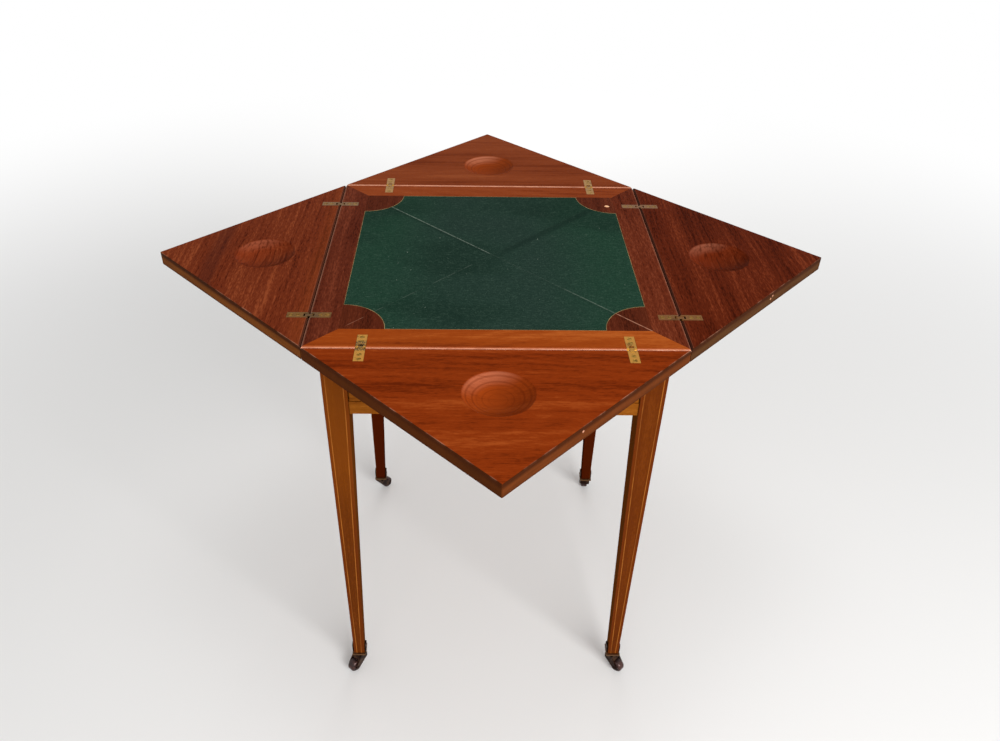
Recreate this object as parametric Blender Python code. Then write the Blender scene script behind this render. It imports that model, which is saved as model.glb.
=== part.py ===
"""Envelope card table: a square playing bed on a swivel, four triangular flaps that fold
over it, a tapered frame with one drawer, and four castors.

Lengths are in metres, +Z is up and the floor is Z = 0. The front, with the drawer, faces -Y.
The table stands open, with its four flaps level with the bed.
"""
import math

import bmesh
import bpy
from mathutils import Matrix, Vector

# Units
MM = 0.001
CLEARANCE = 0.3 * MM          # gap between two pieces that touch
MERGE = 0.001 * MM            # points nearer than this are one
OVERRUN = 2.0 * MM            # how far a cutter runs past the face it opens

# Bed and flaps
TABLE_HEIGHT = 755 * MM       # floor to playing surface
BED_SIDE = 540 * MM           # joint line to joint line
BOARD_THICKNESS = 22 * MM
BORDER_WIDTH = 47 * MM        # joint line to the edge of the cloth
SPANDREL_RADIUS = 65 * MM     # quarter round left in each corner of the cloth
BAIZE_THICKNESS = 1.2 * MM
FLAP_SEAM = 0.7 * MM          # from a flap's slanted edge to the fold's centre line, along an axis

# Dished counter well in each flap
WELL_FROM_JOINT = 100 * MM
WELL_RADIUS = 48.5 * MM
WELL_LIP_WIDTH = 6.5 * MM     # sloping rim outside the bowl
WELL_LIP_DEPTH = 5 * MM
WELL_DEPTH = 12 * MM

# Counter-flap hinges: two pins and a link between two let-in plates
JOINT_GAP = 0.8 * MM          # between the bed's edge and the flap's edge
PIN_INSET = 4.0 * MM          # joint line to each pin
PIN_DEPTH = 3.85 * MM         # surface to each pin
PIN_RADIUS = 1.2 * MM
PIN_CLEARANCE = 0.2 * MM
HINGE_FROM_CORNER = 83 * MM
HINGE_WIDTH = 14.2 * MM
HINGE_PLATE_LENGTH = 32.2 * MM
HINGE_PLATE_THICKNESS = 2.0 * MM
HINGE_HOUSING_WALL = 2.0 * MM
LINK_WIDTH = 6.2 * MM
LINK_RADIUS = 3.55 * MM

# Lift pin, which starts a flap when the top is turned
LIFT_PIN_FROM_RIGHT = 59 * MM
LIFT_PIN_FROM_BACK = 81.5 * MM
LIFT_PIN_RADIUS = 5 * MM
LIFT_PIN_FOOT_RADIUS = 8 * MM
LIFT_PIN_FOOT_THICKNESS = 3 * MM
LIFT_PIN_TRAVEL = 4 * MM
LIFT_PIN_DOME = 0.8 * MM

# Pivot of the top
PIVOT_RADIUS = 6 * MM
PIVOT_HEAD_RADIUS = 14 * MM
PIVOT_HEAD_THICKNESS = 4 * MM
PIVOT_TIP_LENGTH = 2 * MM     # bolt showing under the nut
NUT_ACROSS_FLATS = 19 * MM
NUT_THICKNESS = 8 * MM
BEARER_WIDTH = 120 * MM
BEARER_THICKNESS = 20 * MM
BEARER_HOUSING = 10 * MM      # length let into each side rail

# Frame
BED_OVERHANG = 19 * MM        # bed's edge past the outer faces of the legs
FRIEZE_HEIGHT = 112 * MM
LEG_TOP = 36.8 * MM
LEG_FOOT = 19.5 * MM
LEG_OUTER_TAPER = 2.0 * MM
LEG_ARRIS = 0.8 * MM
RAIL_THICKNESS = 20 * MM
RAIL_SETBACK = 2.5 * MM       # rail face behind the legs' faces
DRAWER_RAIL_HEIGHT = 23 * MM
TENON_LENGTH = 15 * MM
TENON_THICKNESS = 9 * MM
TENON_SHOULDER = 8 * MM       # above and below a frieze rail's tenon
DRAWER_RAIL_SHOULDER = 5 * MM
RUNNER_THICKNESS = 12 * MM
RUNNER_REACH = 14 * MM        # under the drawer's side
GUIDE_HEIGHT = 14 * MM        # beside the drawer, above the runner

# Drawer
DRAWER_GAP = 1.0 * MM         # all round the drawer front
DRAWER_FRONT_THICKNESS = 18 * MM
DRAWER_SIDE_THICKNESS = 9 * MM
DRAWER_HEADROOM = 5 * MM      # from the drawer's sides to the end of the pivot bolt
DRAWER_BACK_GAP = 7 * MM      # from the drawer's back to the back rail
DRAWER_BOTTOM_THICKNESS = 5 * MM
DRAWER_BOTTOM_RAISE = 8 * MM
DRAWER_GROOVE = 5 * MM
KNOB_RADIUS = 10 * MM
KNOB_LENGTH = 20 * MM
KNOB_SHARES = ((0.75, 0.0), (0.75, 0.08), (0.42, 0.2), (0.45, 0.42), (0.92, 0.6), (1.0, 0.75),
               (0.85, 0.92), (0.4, 1.0), (0, 1.0))
KNOB_SHANK_RADIUS = 2.5 * MM
KNOB_SHANK_LENGTH = 13 * MM

# Castors
CASTOR_HEIGHT = 43.6 * MM     # floor to the top of the socket's plate
WHEEL_RADIUS = 12 * MM
WHEEL_WIDTH = 15 * MM
WHEEL_EDGE = 2 * MM
WHEEL_SIDE_GAP = 0.5 * MM
WHEEL_ROOM = 2 * MM           # over the wheel
HUB_RECESS = 1.5 * MM
HUB_RADIUS = 5 * MM
AXLE_RADIUS = 2 * MM
CASTOR_TRAIL = 16 * MM
SOCKET_THICKNESS = 3.4 * MM
LUG_HEIGHT = 19 * MM
LUG_WIDTH = 13 * MM
LUG_THICKNESS = 2.6 * MM
PINTLE_RADIUS = 3.5 * MM
PINTLE_LENGTH = 14 * MM       # above the horn's collar
COLLAR_RADIUS = 8 * MM
COLLAR_THICKNESS = 4 * MM
HORN_CHEEK = 2.5 * MM
HORN_EYE_RADIUS = 5 * MM
CASTOR_TURNS = {"front_left": 229, "front_right": 315, "back_left": 52, "back_right": 84}

# Fineness of round work
ROUND_OVER_STEPS = 5
SPANDREL_STEPS = 10
WELL_STEPS = 32
BOWL_STEPS = 4
PIN_STEPS = 10
LINK_STEPS = 6
TURNED_STEPS = 24

# Worked out from the sizes above
HALF_BED = BED_SIDE / 2
HALF_FRAME = HALF_BED - BED_OVERHANG
FRAME_TOP = TABLE_HEIGHT - BOARD_THICKNESS - CLEARANCE
FRAME_BOTTOM = FRAME_TOP - FRIEZE_HEIGHT
DRAWER_FLOOR = FRAME_BOTTOM + DRAWER_RAIL_HEIGHT
EDGE_ROUND = PIN_INSET - JOINT_GAP / 2
RAIL_FACE = HALF_FRAME - RAIL_SETBACK
RAIL_BACK = RAIL_FACE - RAIL_THICKNESS
LEG_INNER = HALF_FRAME - LEG_TOP
LEG_BOTTOM = CASTOR_HEIGHT + CLEARANCE
FOOT_CENTRE = HALF_FRAME - LEG_OUTER_TAPER - LEG_FOOT / 2
DRAWER_HALF = LEG_INNER - DRAWER_GAP

SIDES = ("front", "right", "back", "left")
CORNERS = {"front_left": (-1, -1), "front_right": (1, -1), "back_left": (-1, 1), "back_right": (1, 1)}


def clear_scene():
    """Empties the file, so that only the table is left in it."""
    for old in list(bpy.data.objects):
        bpy.data.objects.remove(old)


def finish(name, colour, roughness, metallic=0.0):
    """Makes one Principled material."""
    material = bpy.data.materials.new(name)
    material.use_nodes = True
    shader = material.node_tree.nodes["Principled BSDF"]
    shader.inputs["Base Color"].default_value = (*colour, 1.0)
    shader.inputs["Roughness"].default_value = roughness
    shader.inputs["Metallic"].default_value = metallic
    return material


# Shapes

def to_mesh(name, shape, smooth_angle=None):
    """Turns a bmesh into a mesh with its faces outwards."""
    bmesh.ops.recalc_face_normals(shape, faces=shape.faces)
    if shape.calc_volume(signed=True) < 0:
        bmesh.ops.reverse_faces(shape, faces=shape.faces)
    mesh = bpy.data.meshes.new(name)
    shape.to_mesh(mesh)
    shape.free()
    if smooth_angle:
        mesh.shade_smooth()
        mesh.set_sharp_from_angle(angle=math.radians(smooth_angle))
    return mesh


def loft(loops):
    """Closes two or more loops of as many points into one solid."""
    shape = bmesh.new()
    rings = [[shape.verts.new(point) for point in loop] for loop in loops]
    shape.faces.new(rings[0])
    shape.faces.new(rings[-1])
    count = len(rings[0])
    for lower, upper in zip(rings, rings[1:]):
        for i in range(count):
            following = (i + 1) % count
            shape.faces.new((lower[i], lower[following], upper[following], upper[i]))
    return shape


def box(low, high):
    """A box from its lowest to its highest corner."""
    outline = [(low[0], low[1]), (high[0], low[1]), (high[0], high[1]), (low[0], high[1])]
    return slab(outline, low[2], high[2])


def slab(outline, low, high):
    """An outline in X and Y, from one height to another."""
    return loft([[(x, y, z) for x, y in outline] for z in (low, high)])


def bar(outline, width):
    """An outline in Y and Z, centred on X and as long as the width."""
    return loft([[(x, y, z) for y, z in outline] for x in (-width / 2, width / 2)])


def turned(profile, steps=TURNED_STEPS):
    """Spins a profile of (radius, height) about Z. Its ends lie on the axis or form a bore."""
    shape = bmesh.new()
    rings = []
    for radius, height in profile:
        if radius == 0:
            rings.append([shape.verts.new((0, 0, height))])
            continue
        turns = [2 * math.pi * i / steps for i in range(steps)]
        rings.append([shape.verts.new((radius * math.cos(a), radius * math.sin(a), height)) for a in turns])
    pairs = list(zip(rings, rings[1:]))
    if profile[0][0] and profile[-1][0]:
        pairs.append((rings[-1], rings[0]))
    for first, second in pairs:
        for i in range(steps):
            following = (i + 1) % steps
            if len(first) == 1:
                shape.faces.new((first[0], second[i], second[following]))
            elif len(second) == 1:
                shape.faces.new((first[i], first[following], second[0]))
            else:
                shape.faces.new((first[i], first[following], second[following], second[i]))
    return shape


def rod(radius, low, high, steps=TURNED_STEPS):
    """A round rod along Z."""
    return turned([(0, low), (radius, low), (radius, high), (0, high)], steps)


def along_x(shape):
    """Lays a shape that was made along Z along X."""
    shape.transform(Matrix.Rotation(math.pi / 2, 4, "Y"))
    return shape


def moved(shape, x=0.0, y=0.0, z=0.0):
    """Moves a shape."""
    shape.transform(Matrix.Translation((x, y, z)))
    return shape


def together(*shapes):
    """Joins shapes that don't meet into one cutter."""
    whole = bmesh.new()
    for shape in shapes:
        piece = to_mesh("piece", shape)
        whole.from_mesh(piece)
        bpy.data.meshes.remove(piece)
    return whole


def carve(base, tool, operation="DIFFERENCE"):
    """Cuts a tool out of a shape, or adds it to the shape."""
    work = bpy.data.objects.new("work", to_mesh("work", base))
    knife = bpy.data.objects.new("knife", to_mesh("knife", tool))
    knife.hide_render = True
    knife.display_type = "WIRE"
    bpy.context.collection.objects.link(work)
    bpy.context.collection.objects.link(knife)
    step = work.modifiers.new("carve", "BOOLEAN")
    step.solver = "EXACT"
    step.operation = operation
    step.object = knife
    depsgraph = bpy.context.evaluated_depsgraph_get()
    result = bmesh.new()
    result.from_object(work, depsgraph)
    for helper in (work, knife):
        mesh = helper.data
        bpy.data.objects.remove(helper)
        bpy.data.meshes.remove(mesh)
    return result


def add(base, tool):
    """Unites two shapes that meet."""
    return carve(base, tool, "UNION")


def arc(centre, radius, start, end, steps):
    """Points of an arc, in degrees, with both ends."""
    turns = [math.radians(start + (end - start) * i / steps) for i in range(steps + 1)]
    return [(centre[0] + radius * math.cos(a), centre[1] + radius * math.sin(a)) for a in turns]


def soften(shape, radius, chosen, segments=2):
    """Rounds the edges for which chosen(edge) is true."""
    edges = [edge for edge in shape.edges if chosen(edge)]
    bmesh.ops.bevel(shape, geom=edges, offset=radius, segments=segments, profile=0.5,
                    affect="EDGES", clamp_overlap=True)
    return shape


# Objects

def place(name, mesh, material, parent=None, location=(0, 0, 0)):
    """Puts a named piece into the scene, on its parent."""
    piece = bpy.data.objects.new(name, mesh)
    if not mesh.materials:
        mesh.materials.append(material)
    bpy.context.collection.objects.link(piece)
    piece.parent = parent
    piece.location = location
    return piece


def axis(name, location, turn=0.0, parent=None):
    """An empty on a joint's axis, turned about Z by so many degrees."""
    empty = bpy.data.objects.new(name, None)
    bpy.context.collection.objects.link(empty)
    empty.parent = parent
    empty.location = location
    empty.rotation_euler = (0, 0, math.radians(turn))
    return empty


# Hinges. Here u runs from the joint line into the board that carries the plate.

def joint_round(centre_u):
    """The rounded upper edge of a board or a plate at the joint, in (u, z)."""
    return arc((centre_u, -EDGE_ROUND), EDGE_ROUND, 180, 90, ROUND_OVER_STEPS)


HOUSING_DEPTH = PIN_DEPTH + LINK_RADIUS + CLEARANCE + HINGE_HOUSING_WALL / 2
HOUSING_LENGTH = PIN_INSET + LINK_RADIUS + CLEARANCE + HINGE_HOUSING_WALL


def hinge_plate():
    """A let-in plate with its fork at the joint, bored for a pin."""
    outline = [(JOINT_GAP / 2, -HOUSING_DEPTH)] + joint_round(PIN_INSET)
    outline += [(HINGE_PLATE_LENGTH, 0), (HINGE_PLATE_LENGTH, -HINGE_PLATE_THICKNESS)]
    outline += [(HOUSING_LENGTH, -HINGE_PLATE_THICKNESS), (HOUSING_LENGTH, -HOUSING_DEPTH)]
    slot_radius = LINK_RADIUS + CLEARANCE
    slot = arc((PIN_INSET, -PIN_DEPTH), slot_radius, 0, -90, LINK_STEPS)
    slot += [(-OVERRUN, -PIN_DEPTH - slot_radius), (-OVERRUN, OVERRUN), (PIN_INSET + slot_radius, OVERRUN)]
    plate = carve(bar(outline, HINGE_WIDTH), bar(slot, LINK_WIDTH + 2 * CLEARANCE))
    reach = HINGE_WIDTH / 2 + OVERRUN
    bore = along_x(rod(PIN_RADIUS + PIN_CLEARANCE, -reach, reach, PIN_STEPS))
    return carve(plate, moved(bore, y=PIN_INSET, z=-PIN_DEPTH))


def hinge_link():
    """The link with its two pins. Its origin is on the bed's pin and it reaches out along -Y."""
    across = 2 * PIN_INSET
    outline = arc((0, 0), LINK_RADIUS, -90, 90, 2 * LINK_STEPS)
    outline += arc((-across, 0), LINK_RADIUS, 90, 270, 2 * LINK_STEPS)
    link = bar(outline, LINK_WIDTH)
    half = HINGE_WIDTH / 2
    for y in (0, -across):
        pin = along_x(rod(PIN_RADIUS, -half, half, PIN_STEPS))
        link = add(link, moved(pin, y=y))
    return link


def hinge_pocket():
    """What is cut from a board for one plate, in (u, z), open at the surface and the joint."""
    depth, length = HOUSING_DEPTH + CLEARANCE, HOUSING_LENGTH + CLEARANCE
    plate_depth, plate_length = HINGE_PLATE_THICKNESS + CLEARANCE, HINGE_PLATE_LENGTH + CLEARANCE
    outline = [(-OVERRUN, -depth), (length, -depth), (length, -plate_depth)]
    outline += [(plate_length, -plate_depth), (plate_length, OVERRUN), (-OVERRUN, OVERRUN)]
    return bar(outline, HINGE_WIDTH + 2 * CLEARANCE)


def hinge_places():
    """Where the two hinges of a side stand along its joint."""
    reach = HALF_BED - HINGE_FROM_CORNER
    return {"a": -reach, "b": reach}


def outwards(shape):
    """Turns a hinge shape from the bed's side of the joint to the flap's."""
    shape.transform(Matrix.Rotation(math.pi, 4, "Z"))
    return shape


# Bed

def cloth_outline(grown=0.0):
    """The cloth's outline: a square with a quarter round left out at each corner."""
    corner = HALF_BED - BORDER_WIDTH
    bow = arc((corner, corner), SPANDREL_RADIUS - grown, 270, 180, SPANDREL_STEPS)
    bow[0] = (corner + grown, bow[0][1])
    bow[-1] = (bow[-1][0], corner + grown)
    points = []
    for _ in SIDES:
        points += bow
        bow = [(-y, x) for x, y in bow]
    return points


def bed_board():
    """The bed: board with round joint edges, cloth recess, hinge pockets and bores."""
    half = HALF_BED - JOINT_GAP / 2
    board = box((-half, -half, -BOARD_THICKNESS), (half, half, 0))
    soften(board, EDGE_ROUND, lambda edge: all(v.co.z == 0 for v in edge.verts), ROUND_OVER_STEPS)
    recess = slab(cloth_outline(CLEARANCE), -BAIZE_THICKNESS - CLEARANCE, OVERRUN)
    board = carve(board, recess)
    pockets = []
    for turn in range(len(SIDES)):
        for x in hinge_places().values():
            pocket = moved(hinge_pocket(), x=x, y=-HALF_BED)
            pocket.transform(Matrix.Rotation(math.pi / 2 * turn, 4, "Z"))
            pockets.append(pocket)
    board = carve(board, together(*pockets))
    board = carve(board, pivot_bolt(CLEARANCE, OVERRUN))
    return carve(board, moved(lift_pin_bore(), *lift_pin_place()))


def baize():
    """The cloth, let in level with the border."""
    return slab(cloth_outline(), -BAIZE_THICKNESS, 0)


def lift_pin_place():
    """Where the lift pin stands on the bed."""
    return HALF_BED - LIFT_PIN_FROM_RIGHT, HALF_BED - LIFT_PIN_FROM_BACK


def lift_pin_bore():
    """The lift pin's bore, with room under the bed for its foot to rise."""
    foot_top = LIFT_PIN_FOOT_THICKNESS + LIFT_PIN_TRAVEL + CLEARANCE - BOARD_THICKNESS
    narrow = LIFT_PIN_RADIUS + CLEARANCE
    wide = LIFT_PIN_FOOT_RADIUS + CLEARANCE
    bottom = -BOARD_THICKNESS - OVERRUN
    return turned([(0, bottom), (wide, bottom), (wide, foot_top), (narrow, foot_top),
                   (narrow, OVERRUN), (0, OVERRUN)])


def lift_pin():
    """The pin with its foot and a low dome, level with the bed at its edge."""
    foot = -BOARD_THICKNESS
    collar = foot + LIFT_PIN_FOOT_THICKNESS
    return turned([(0, foot), (LIFT_PIN_FOOT_RADIUS, foot), (LIFT_PIN_FOOT_RADIUS, collar),
                   (LIFT_PIN_RADIUS, collar), (LIFT_PIN_RADIUS, -LIFT_PIN_DOME),
                   (LIFT_PIN_RADIUS - LIFT_PIN_DOME, 0), (0, 0)])


def pivot_bolt(grown=0.0, overrun=0.0):
    """The pivot bolt, its head under the cloth. Grown, it is what is cut from the bed."""
    head_top = -BAIZE_THICKNESS - 2 * CLEARANCE + overrun
    head_bottom = -BAIZE_THICKNESS - 2 * CLEARANCE - PIVOT_HEAD_THICKNESS - grown
    tip = -BOARD_THICKNESS - BEARER_THICKNESS - NUT_THICKNESS - PIVOT_TIP_LENGTH - 2 * CLEARANCE
    shank, head = PIVOT_RADIUS + grown, PIVOT_HEAD_RADIUS + grown
    return turned([(0, tip), (shank, tip), (shank, head_bottom), (head, head_bottom),
                   (head, head_top), (0, head_top)])


def pivot_nut():
    """The nut under the bearer, with its clearance on the bolt."""
    top = FRAME_TOP - BEARER_THICKNESS - CLEARANCE - TABLE_HEIGHT
    corner = NUT_ACROSS_FLATS / math.sqrt(3)
    outline = arc((0, 0), corner, 0, 300, 5)
    nut = slab(outline, top - NUT_THICKNESS, top)
    low = top - NUT_THICKNESS - OVERRUN
    return carve(nut, rod(PIVOT_RADIUS + CLEARANCE, low, top + OVERRUN))


# Flaps

def well():
    """What is cut from a flap for its well: a sloping lip and a bowl."""
    bowl_radius = WELL_RADIUS - WELL_LIP_WIDTH
    bowl_depth = WELL_DEPTH - WELL_LIP_DEPTH
    profile = [(0, -WELL_DEPTH)]
    for i in range(1, BOWL_STEPS + 1):
        share = i / BOWL_STEPS
        profile.append((bowl_radius * share, -WELL_DEPTH + bowl_depth * share * share))
    flare = WELL_LIP_WIDTH * OVERRUN / WELL_LIP_DEPTH
    profile += [(WELL_RADIUS + flare, OVERRUN), (0, OVERRUN)]
    return turned(profile, WELL_STEPS)


def flap():
    """A flap in the front's place, with its origin on its own pin line."""
    reach = HALF_BED - FLAP_SEAM
    outline = joint_round(PIN_INSET)
    outline += [(reach, 0), (reach, -BOARD_THICKNESS), (JOINT_GAP / 2, -BOARD_THICKNESS)]
    board = bar([(-u, z) for u, z in outline], BED_SIDE + 2 * OVERRUN)
    for way in (-1, 1):
        everything = board.verts[:] + board.edges[:] + board.faces[:]
        bmesh.ops.bisect_plane(board, geom=everything, plane_co=(0, -reach, 0),
                               plane_no=Vector((way, -1, 0)).normalized(), clear_outer=True, dist=MERGE)
        bmesh.ops.edgeloop_fill(board, edges=[edge for edge in board.edges if edge.is_boundary])
    board = carve(board, moved(well(), y=-WELL_FROM_JOINT))
    pockets = [moved(outwards(hinge_pocket()), x=x) for x in hinge_places().values()]
    board = carve(board, together(*pockets))
    return moved(board, y=PIN_INSET, z=PIN_DEPTH)


# Frame

def leg_corners(height, grown=0.0):
    """A leg's corners at a height, for the corner at +X and +Y: straight, then tapered."""
    down = max(0.0, (FRAME_BOTTOM - height) / (FRAME_BOTTOM - LEG_BOTTOM))
    outer = HALF_FRAME - LEG_OUTER_TAPER * down + grown
    inner = LEG_INNER + (LEG_TOP - LEG_FOOT - LEG_OUTER_TAPER) * down - grown
    return [(inner, inner), (outer, inner), (outer, outer), (inner, outer)]


def to_corner(shape, corner):
    """Mirrors a shape made for the corner at +X and +Y to its own corner."""
    across, back = CORNERS[corner]
    shape.transform(Matrix.Diagonal((across, back, 1, 1)))
    return shape


def mortise(rail_bottom, rail_top, shoulder):
    """What is cut from a leg for a tenon that comes along X."""
    middle, half = (RAIL_FACE + RAIL_BACK) / 2, TENON_THICKNESS / 2 + CLEARANCE
    low = (LEG_INNER - OVERRUN, middle - half, rail_bottom + shoulder - CLEARANCE)
    high = (LEG_INNER + TENON_LENGTH + CLEARANCE, middle + half, rail_top - shoulder + CLEARANCE)
    return box(low, high)


def leg(corner):
    """A leg with two mortises and the bore for its castor."""
    shape = loft([[(x, y, z) for x, y in leg_corners(z)] for z in (LEG_BOTTOM, FRAME_BOTTOM, FRAME_TOP)])
    soften(shape, LEG_ARRIS, lambda edge: edge.verts[0].co.z != edge.verts[1].co.z, 1)
    side_mortise = mortise(FRAME_BOTTOM, FRAME_TOP, TENON_SHOULDER)
    side_mortise.transform(Matrix(((0, 1, 0, 0), (1, 0, 0, 0), (0, 0, 1, 0), (0, 0, 0, 1))))
    if corner.startswith("front"):
        cross_mortise = mortise(FRAME_BOTTOM, DRAWER_FLOOR, DRAWER_RAIL_SHOULDER)
    else:
        cross_mortise = mortise(FRAME_BOTTOM, FRAME_TOP, TENON_SHOULDER)
    bore_top = CASTOR_HEIGHT - SOCKET_THICKNESS + PINTLE_LENGTH + CLEARANCE
    bore = rod(PINTLE_RADIUS + CLEARANCE, LEG_BOTTOM - OVERRUN, bore_top, PIN_STEPS)
    bore = moved(bore, FOOT_CENTRE, FOOT_CENTRE)
    return to_corner(carve(shape, together(side_mortise, cross_mortise, bore)), corner)


def rail(outline, bottom, top, shoulder):
    """A rail in the front's place from its section in Y and Z, with a tenon at each end."""
    reach = 2 * (LEG_INNER - CLEARANCE)
    middle, half = -(RAIL_FACE + RAIL_BACK) / 2, TENON_THICKNESS / 2
    low, high = bottom + shoulder, top - shoulder
    tenon = [(middle - half, low), (middle + half, low), (middle + half, high), (middle - half, high)]
    return add(bar(outline, reach), bar(tenon, reach + 2 * TENON_LENGTH))


def plain_rail(top, shoulder):
    """The drawer rail or the back rail."""
    outline = [(-RAIL_FACE, FRAME_BOTTOM), (-RAIL_BACK, FRAME_BOTTOM), (-RAIL_BACK, top), (-RAIL_FACE, top)]
    return rail(outline, FRAME_BOTTOM, top, shoulder)


def side_rail():
    """A side rail with the drawer's runner and guide, and a housing for the bearer."""
    guide_top, runner_bottom = DRAWER_FLOOR + GUIDE_HEIGHT, DRAWER_FLOOR - RUNNER_THICKNESS
    runner_edge = LEG_INNER - RUNNER_REACH
    section = [(RAIL_FACE, FRAME_BOTTOM), (RAIL_BACK, FRAME_BOTTOM), (RAIL_BACK, runner_bottom),
               (runner_edge, runner_bottom), (runner_edge, DRAWER_FLOOR), (LEG_INNER, DRAWER_FLOOR),
               (LEG_INNER, guide_top), (RAIL_BACK, guide_top), (RAIL_BACK, FRAME_TOP), (RAIL_FACE, FRAME_TOP)]
    shape = rail([(-y, z) for y, z in section], FRAME_BOTTOM, FRAME_TOP, TENON_SHOULDER)
    half = BEARER_WIDTH / 2 + CLEARANCE
    housing = box((-half, -RAIL_BACK - BEARER_HOUSING - CLEARANCE, FRAME_TOP - BEARER_THICKNESS - CLEARANCE),
                  (half, -RAIL_BACK + OVERRUN, FRAME_TOP + OVERRUN))
    return carve(shape, housing)


def pivot_bearer():
    """The cross board that the top turns on, bored for the bolt."""
    reach, half = RAIL_BACK + BEARER_HOUSING, BEARER_WIDTH / 2
    low, high = FRAME_TOP - BEARER_THICKNESS, FRAME_TOP
    bore = rod(PIVOT_RADIUS + CLEARANCE, low - OVERRUN, high + OVERRUN)
    return carve(box((-reach, -half, low), (reach, half, high)), bore)


# Drawer

DRAWER_SIDE_BOTTOM = DRAWER_FLOOR + CLEARANCE
DRAWER_SIDE_TOP = FRAME_TOP - BEARER_THICKNESS - NUT_THICKNESS - PIVOT_TIP_LENGTH - DRAWER_HEADROOM
DRAWER_LINING = DRAWER_HALF - DRAWER_SIDE_THICKNESS
DRAWER_FRONT_BACK = DRAWER_FRONT_THICKNESS - RAIL_FACE
DRAWER_END = RAIL_BACK - DRAWER_BACK_GAP
KNOB_HEIGHT = (DRAWER_FLOOR + FRAME_TOP) / 2


def drawer_bottom(grown=0.0):
    """The drawer's bottom board. Grown, it is what is cut for its grooves."""
    reach = DRAWER_LINING + DRAWER_GROOVE + grown
    low = DRAWER_SIDE_BOTTOM + DRAWER_BOTTOM_RAISE
    return box((-reach, DRAWER_FRONT_BACK - DRAWER_GROOVE - grown, low - grown),
               (reach, DRAWER_END + grown, low + DRAWER_BOTTOM_THICKNESS + grown))


def drawer_front():
    """The drawer's front, grooved for the bottom and bored for the knob."""
    front = box((-DRAWER_HALF, -RAIL_FACE, DRAWER_FLOOR + DRAWER_GAP),
                (DRAWER_HALF, DRAWER_FRONT_BACK, FRAME_TOP - DRAWER_GAP))
    bore = rod(KNOB_SHANK_RADIUS + CLEARANCE, -DRAWER_FRONT_THICKNESS - OVERRUN, OVERRUN, PIN_STEPS)
    bore = moved(to_front(bore), y=-RAIL_FACE, z=KNOB_HEIGHT)
    return carve(front, together(drawer_bottom(CLEARANCE), bore))


def drawer_side():
    """The right-hand side of the drawer, grooved for the bottom."""
    side = box((DRAWER_LINING, DRAWER_FRONT_BACK + CLEARANCE, DRAWER_SIDE_BOTTOM),
               (DRAWER_HALF, DRAWER_END, DRAWER_SIDE_TOP))
    groove = drawer_bottom(CLEARANCE)
    groove.transform(Matrix.Translation((0, OVERRUN, 0)))
    return carve(side, groove)


def drawer_back():
    """The drawer's back, which stands on the bottom."""
    reach = DRAWER_LINING - CLEARANCE
    low = DRAWER_SIDE_BOTTOM + DRAWER_BOTTOM_RAISE + DRAWER_BOTTOM_THICKNESS + CLEARANCE
    return box((-reach, DRAWER_END - DRAWER_SIDE_THICKNESS, low), (reach, DRAWER_END, DRAWER_SIDE_TOP))


def to_front(shape):
    """Lays a shape that was made along Z towards the front."""
    shape.transform(Matrix.Rotation(math.pi / 2, 4, "X"))
    return shape


def drawer_knob():
    """A turned knob with its shank, pointing to the front from its seat on the drawer."""
    profile = [(0, -KNOB_SHANK_LENGTH), (KNOB_SHANK_RADIUS, -KNOB_SHANK_LENGTH)]
    profile.append((KNOB_SHANK_RADIUS, CLEARANCE))
    profile += [(KNOB_RADIUS * r, CLEARANCE + KNOB_LENGTH * z) for r, z in KNOB_SHARES]
    return to_front(turned(profile))


# Castors

SOCKET_BOTTOM = CASTOR_HEIGHT - SOCKET_THICKNESS
COLLAR_TOP = SOCKET_BOTTOM - CLEARANCE
COLLAR_BOTTOM = COLLAR_TOP - COLLAR_THICKNESS
FORK_INNER = WHEEL_WIDTH / 2 + WHEEL_SIDE_GAP


def castor_socket(corner):
    """The plate under the foot, with a lug up either side of the leg."""
    half = LEG_FOOT / 2 + CLEARANCE + LUG_THICKNESS
    plate = box((FOOT_CENTRE - half, FOOT_CENTRE - half, SOCKET_BOTTOM),
                (FOOT_CENTRE + half, FOOT_CENTRE + half, CASTOR_HEIGHT))
    near, far = FOOT_CENTRE - LUG_WIDTH / 2, FOOT_CENTRE + LUG_WIDTH / 2
    for side in (0, 1):
        loops = []
        for z in (SOCKET_BOTTOM, CASTOR_HEIGHT + LUG_HEIGHT):
            faces = [leg_corners(z, grown)[side][0] for grown in (CLEARANCE, CLEARANCE + LUG_THICKNESS)]
            loops.append([(faces[0], near, z), (faces[1], near, z), (faces[1], far, z), (faces[0], far, z)])
        plate = add(plate, loft(loops))
    bore = rod(PINTLE_RADIUS + CLEARANCE, SOCKET_BOTTOM - OVERRUN, CASTOR_HEIGHT + OVERRUN, PIN_STEPS)
    return to_corner(carve(plate, moved(bore, FOOT_CENTRE, FOOT_CENTRE)), corner)


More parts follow.
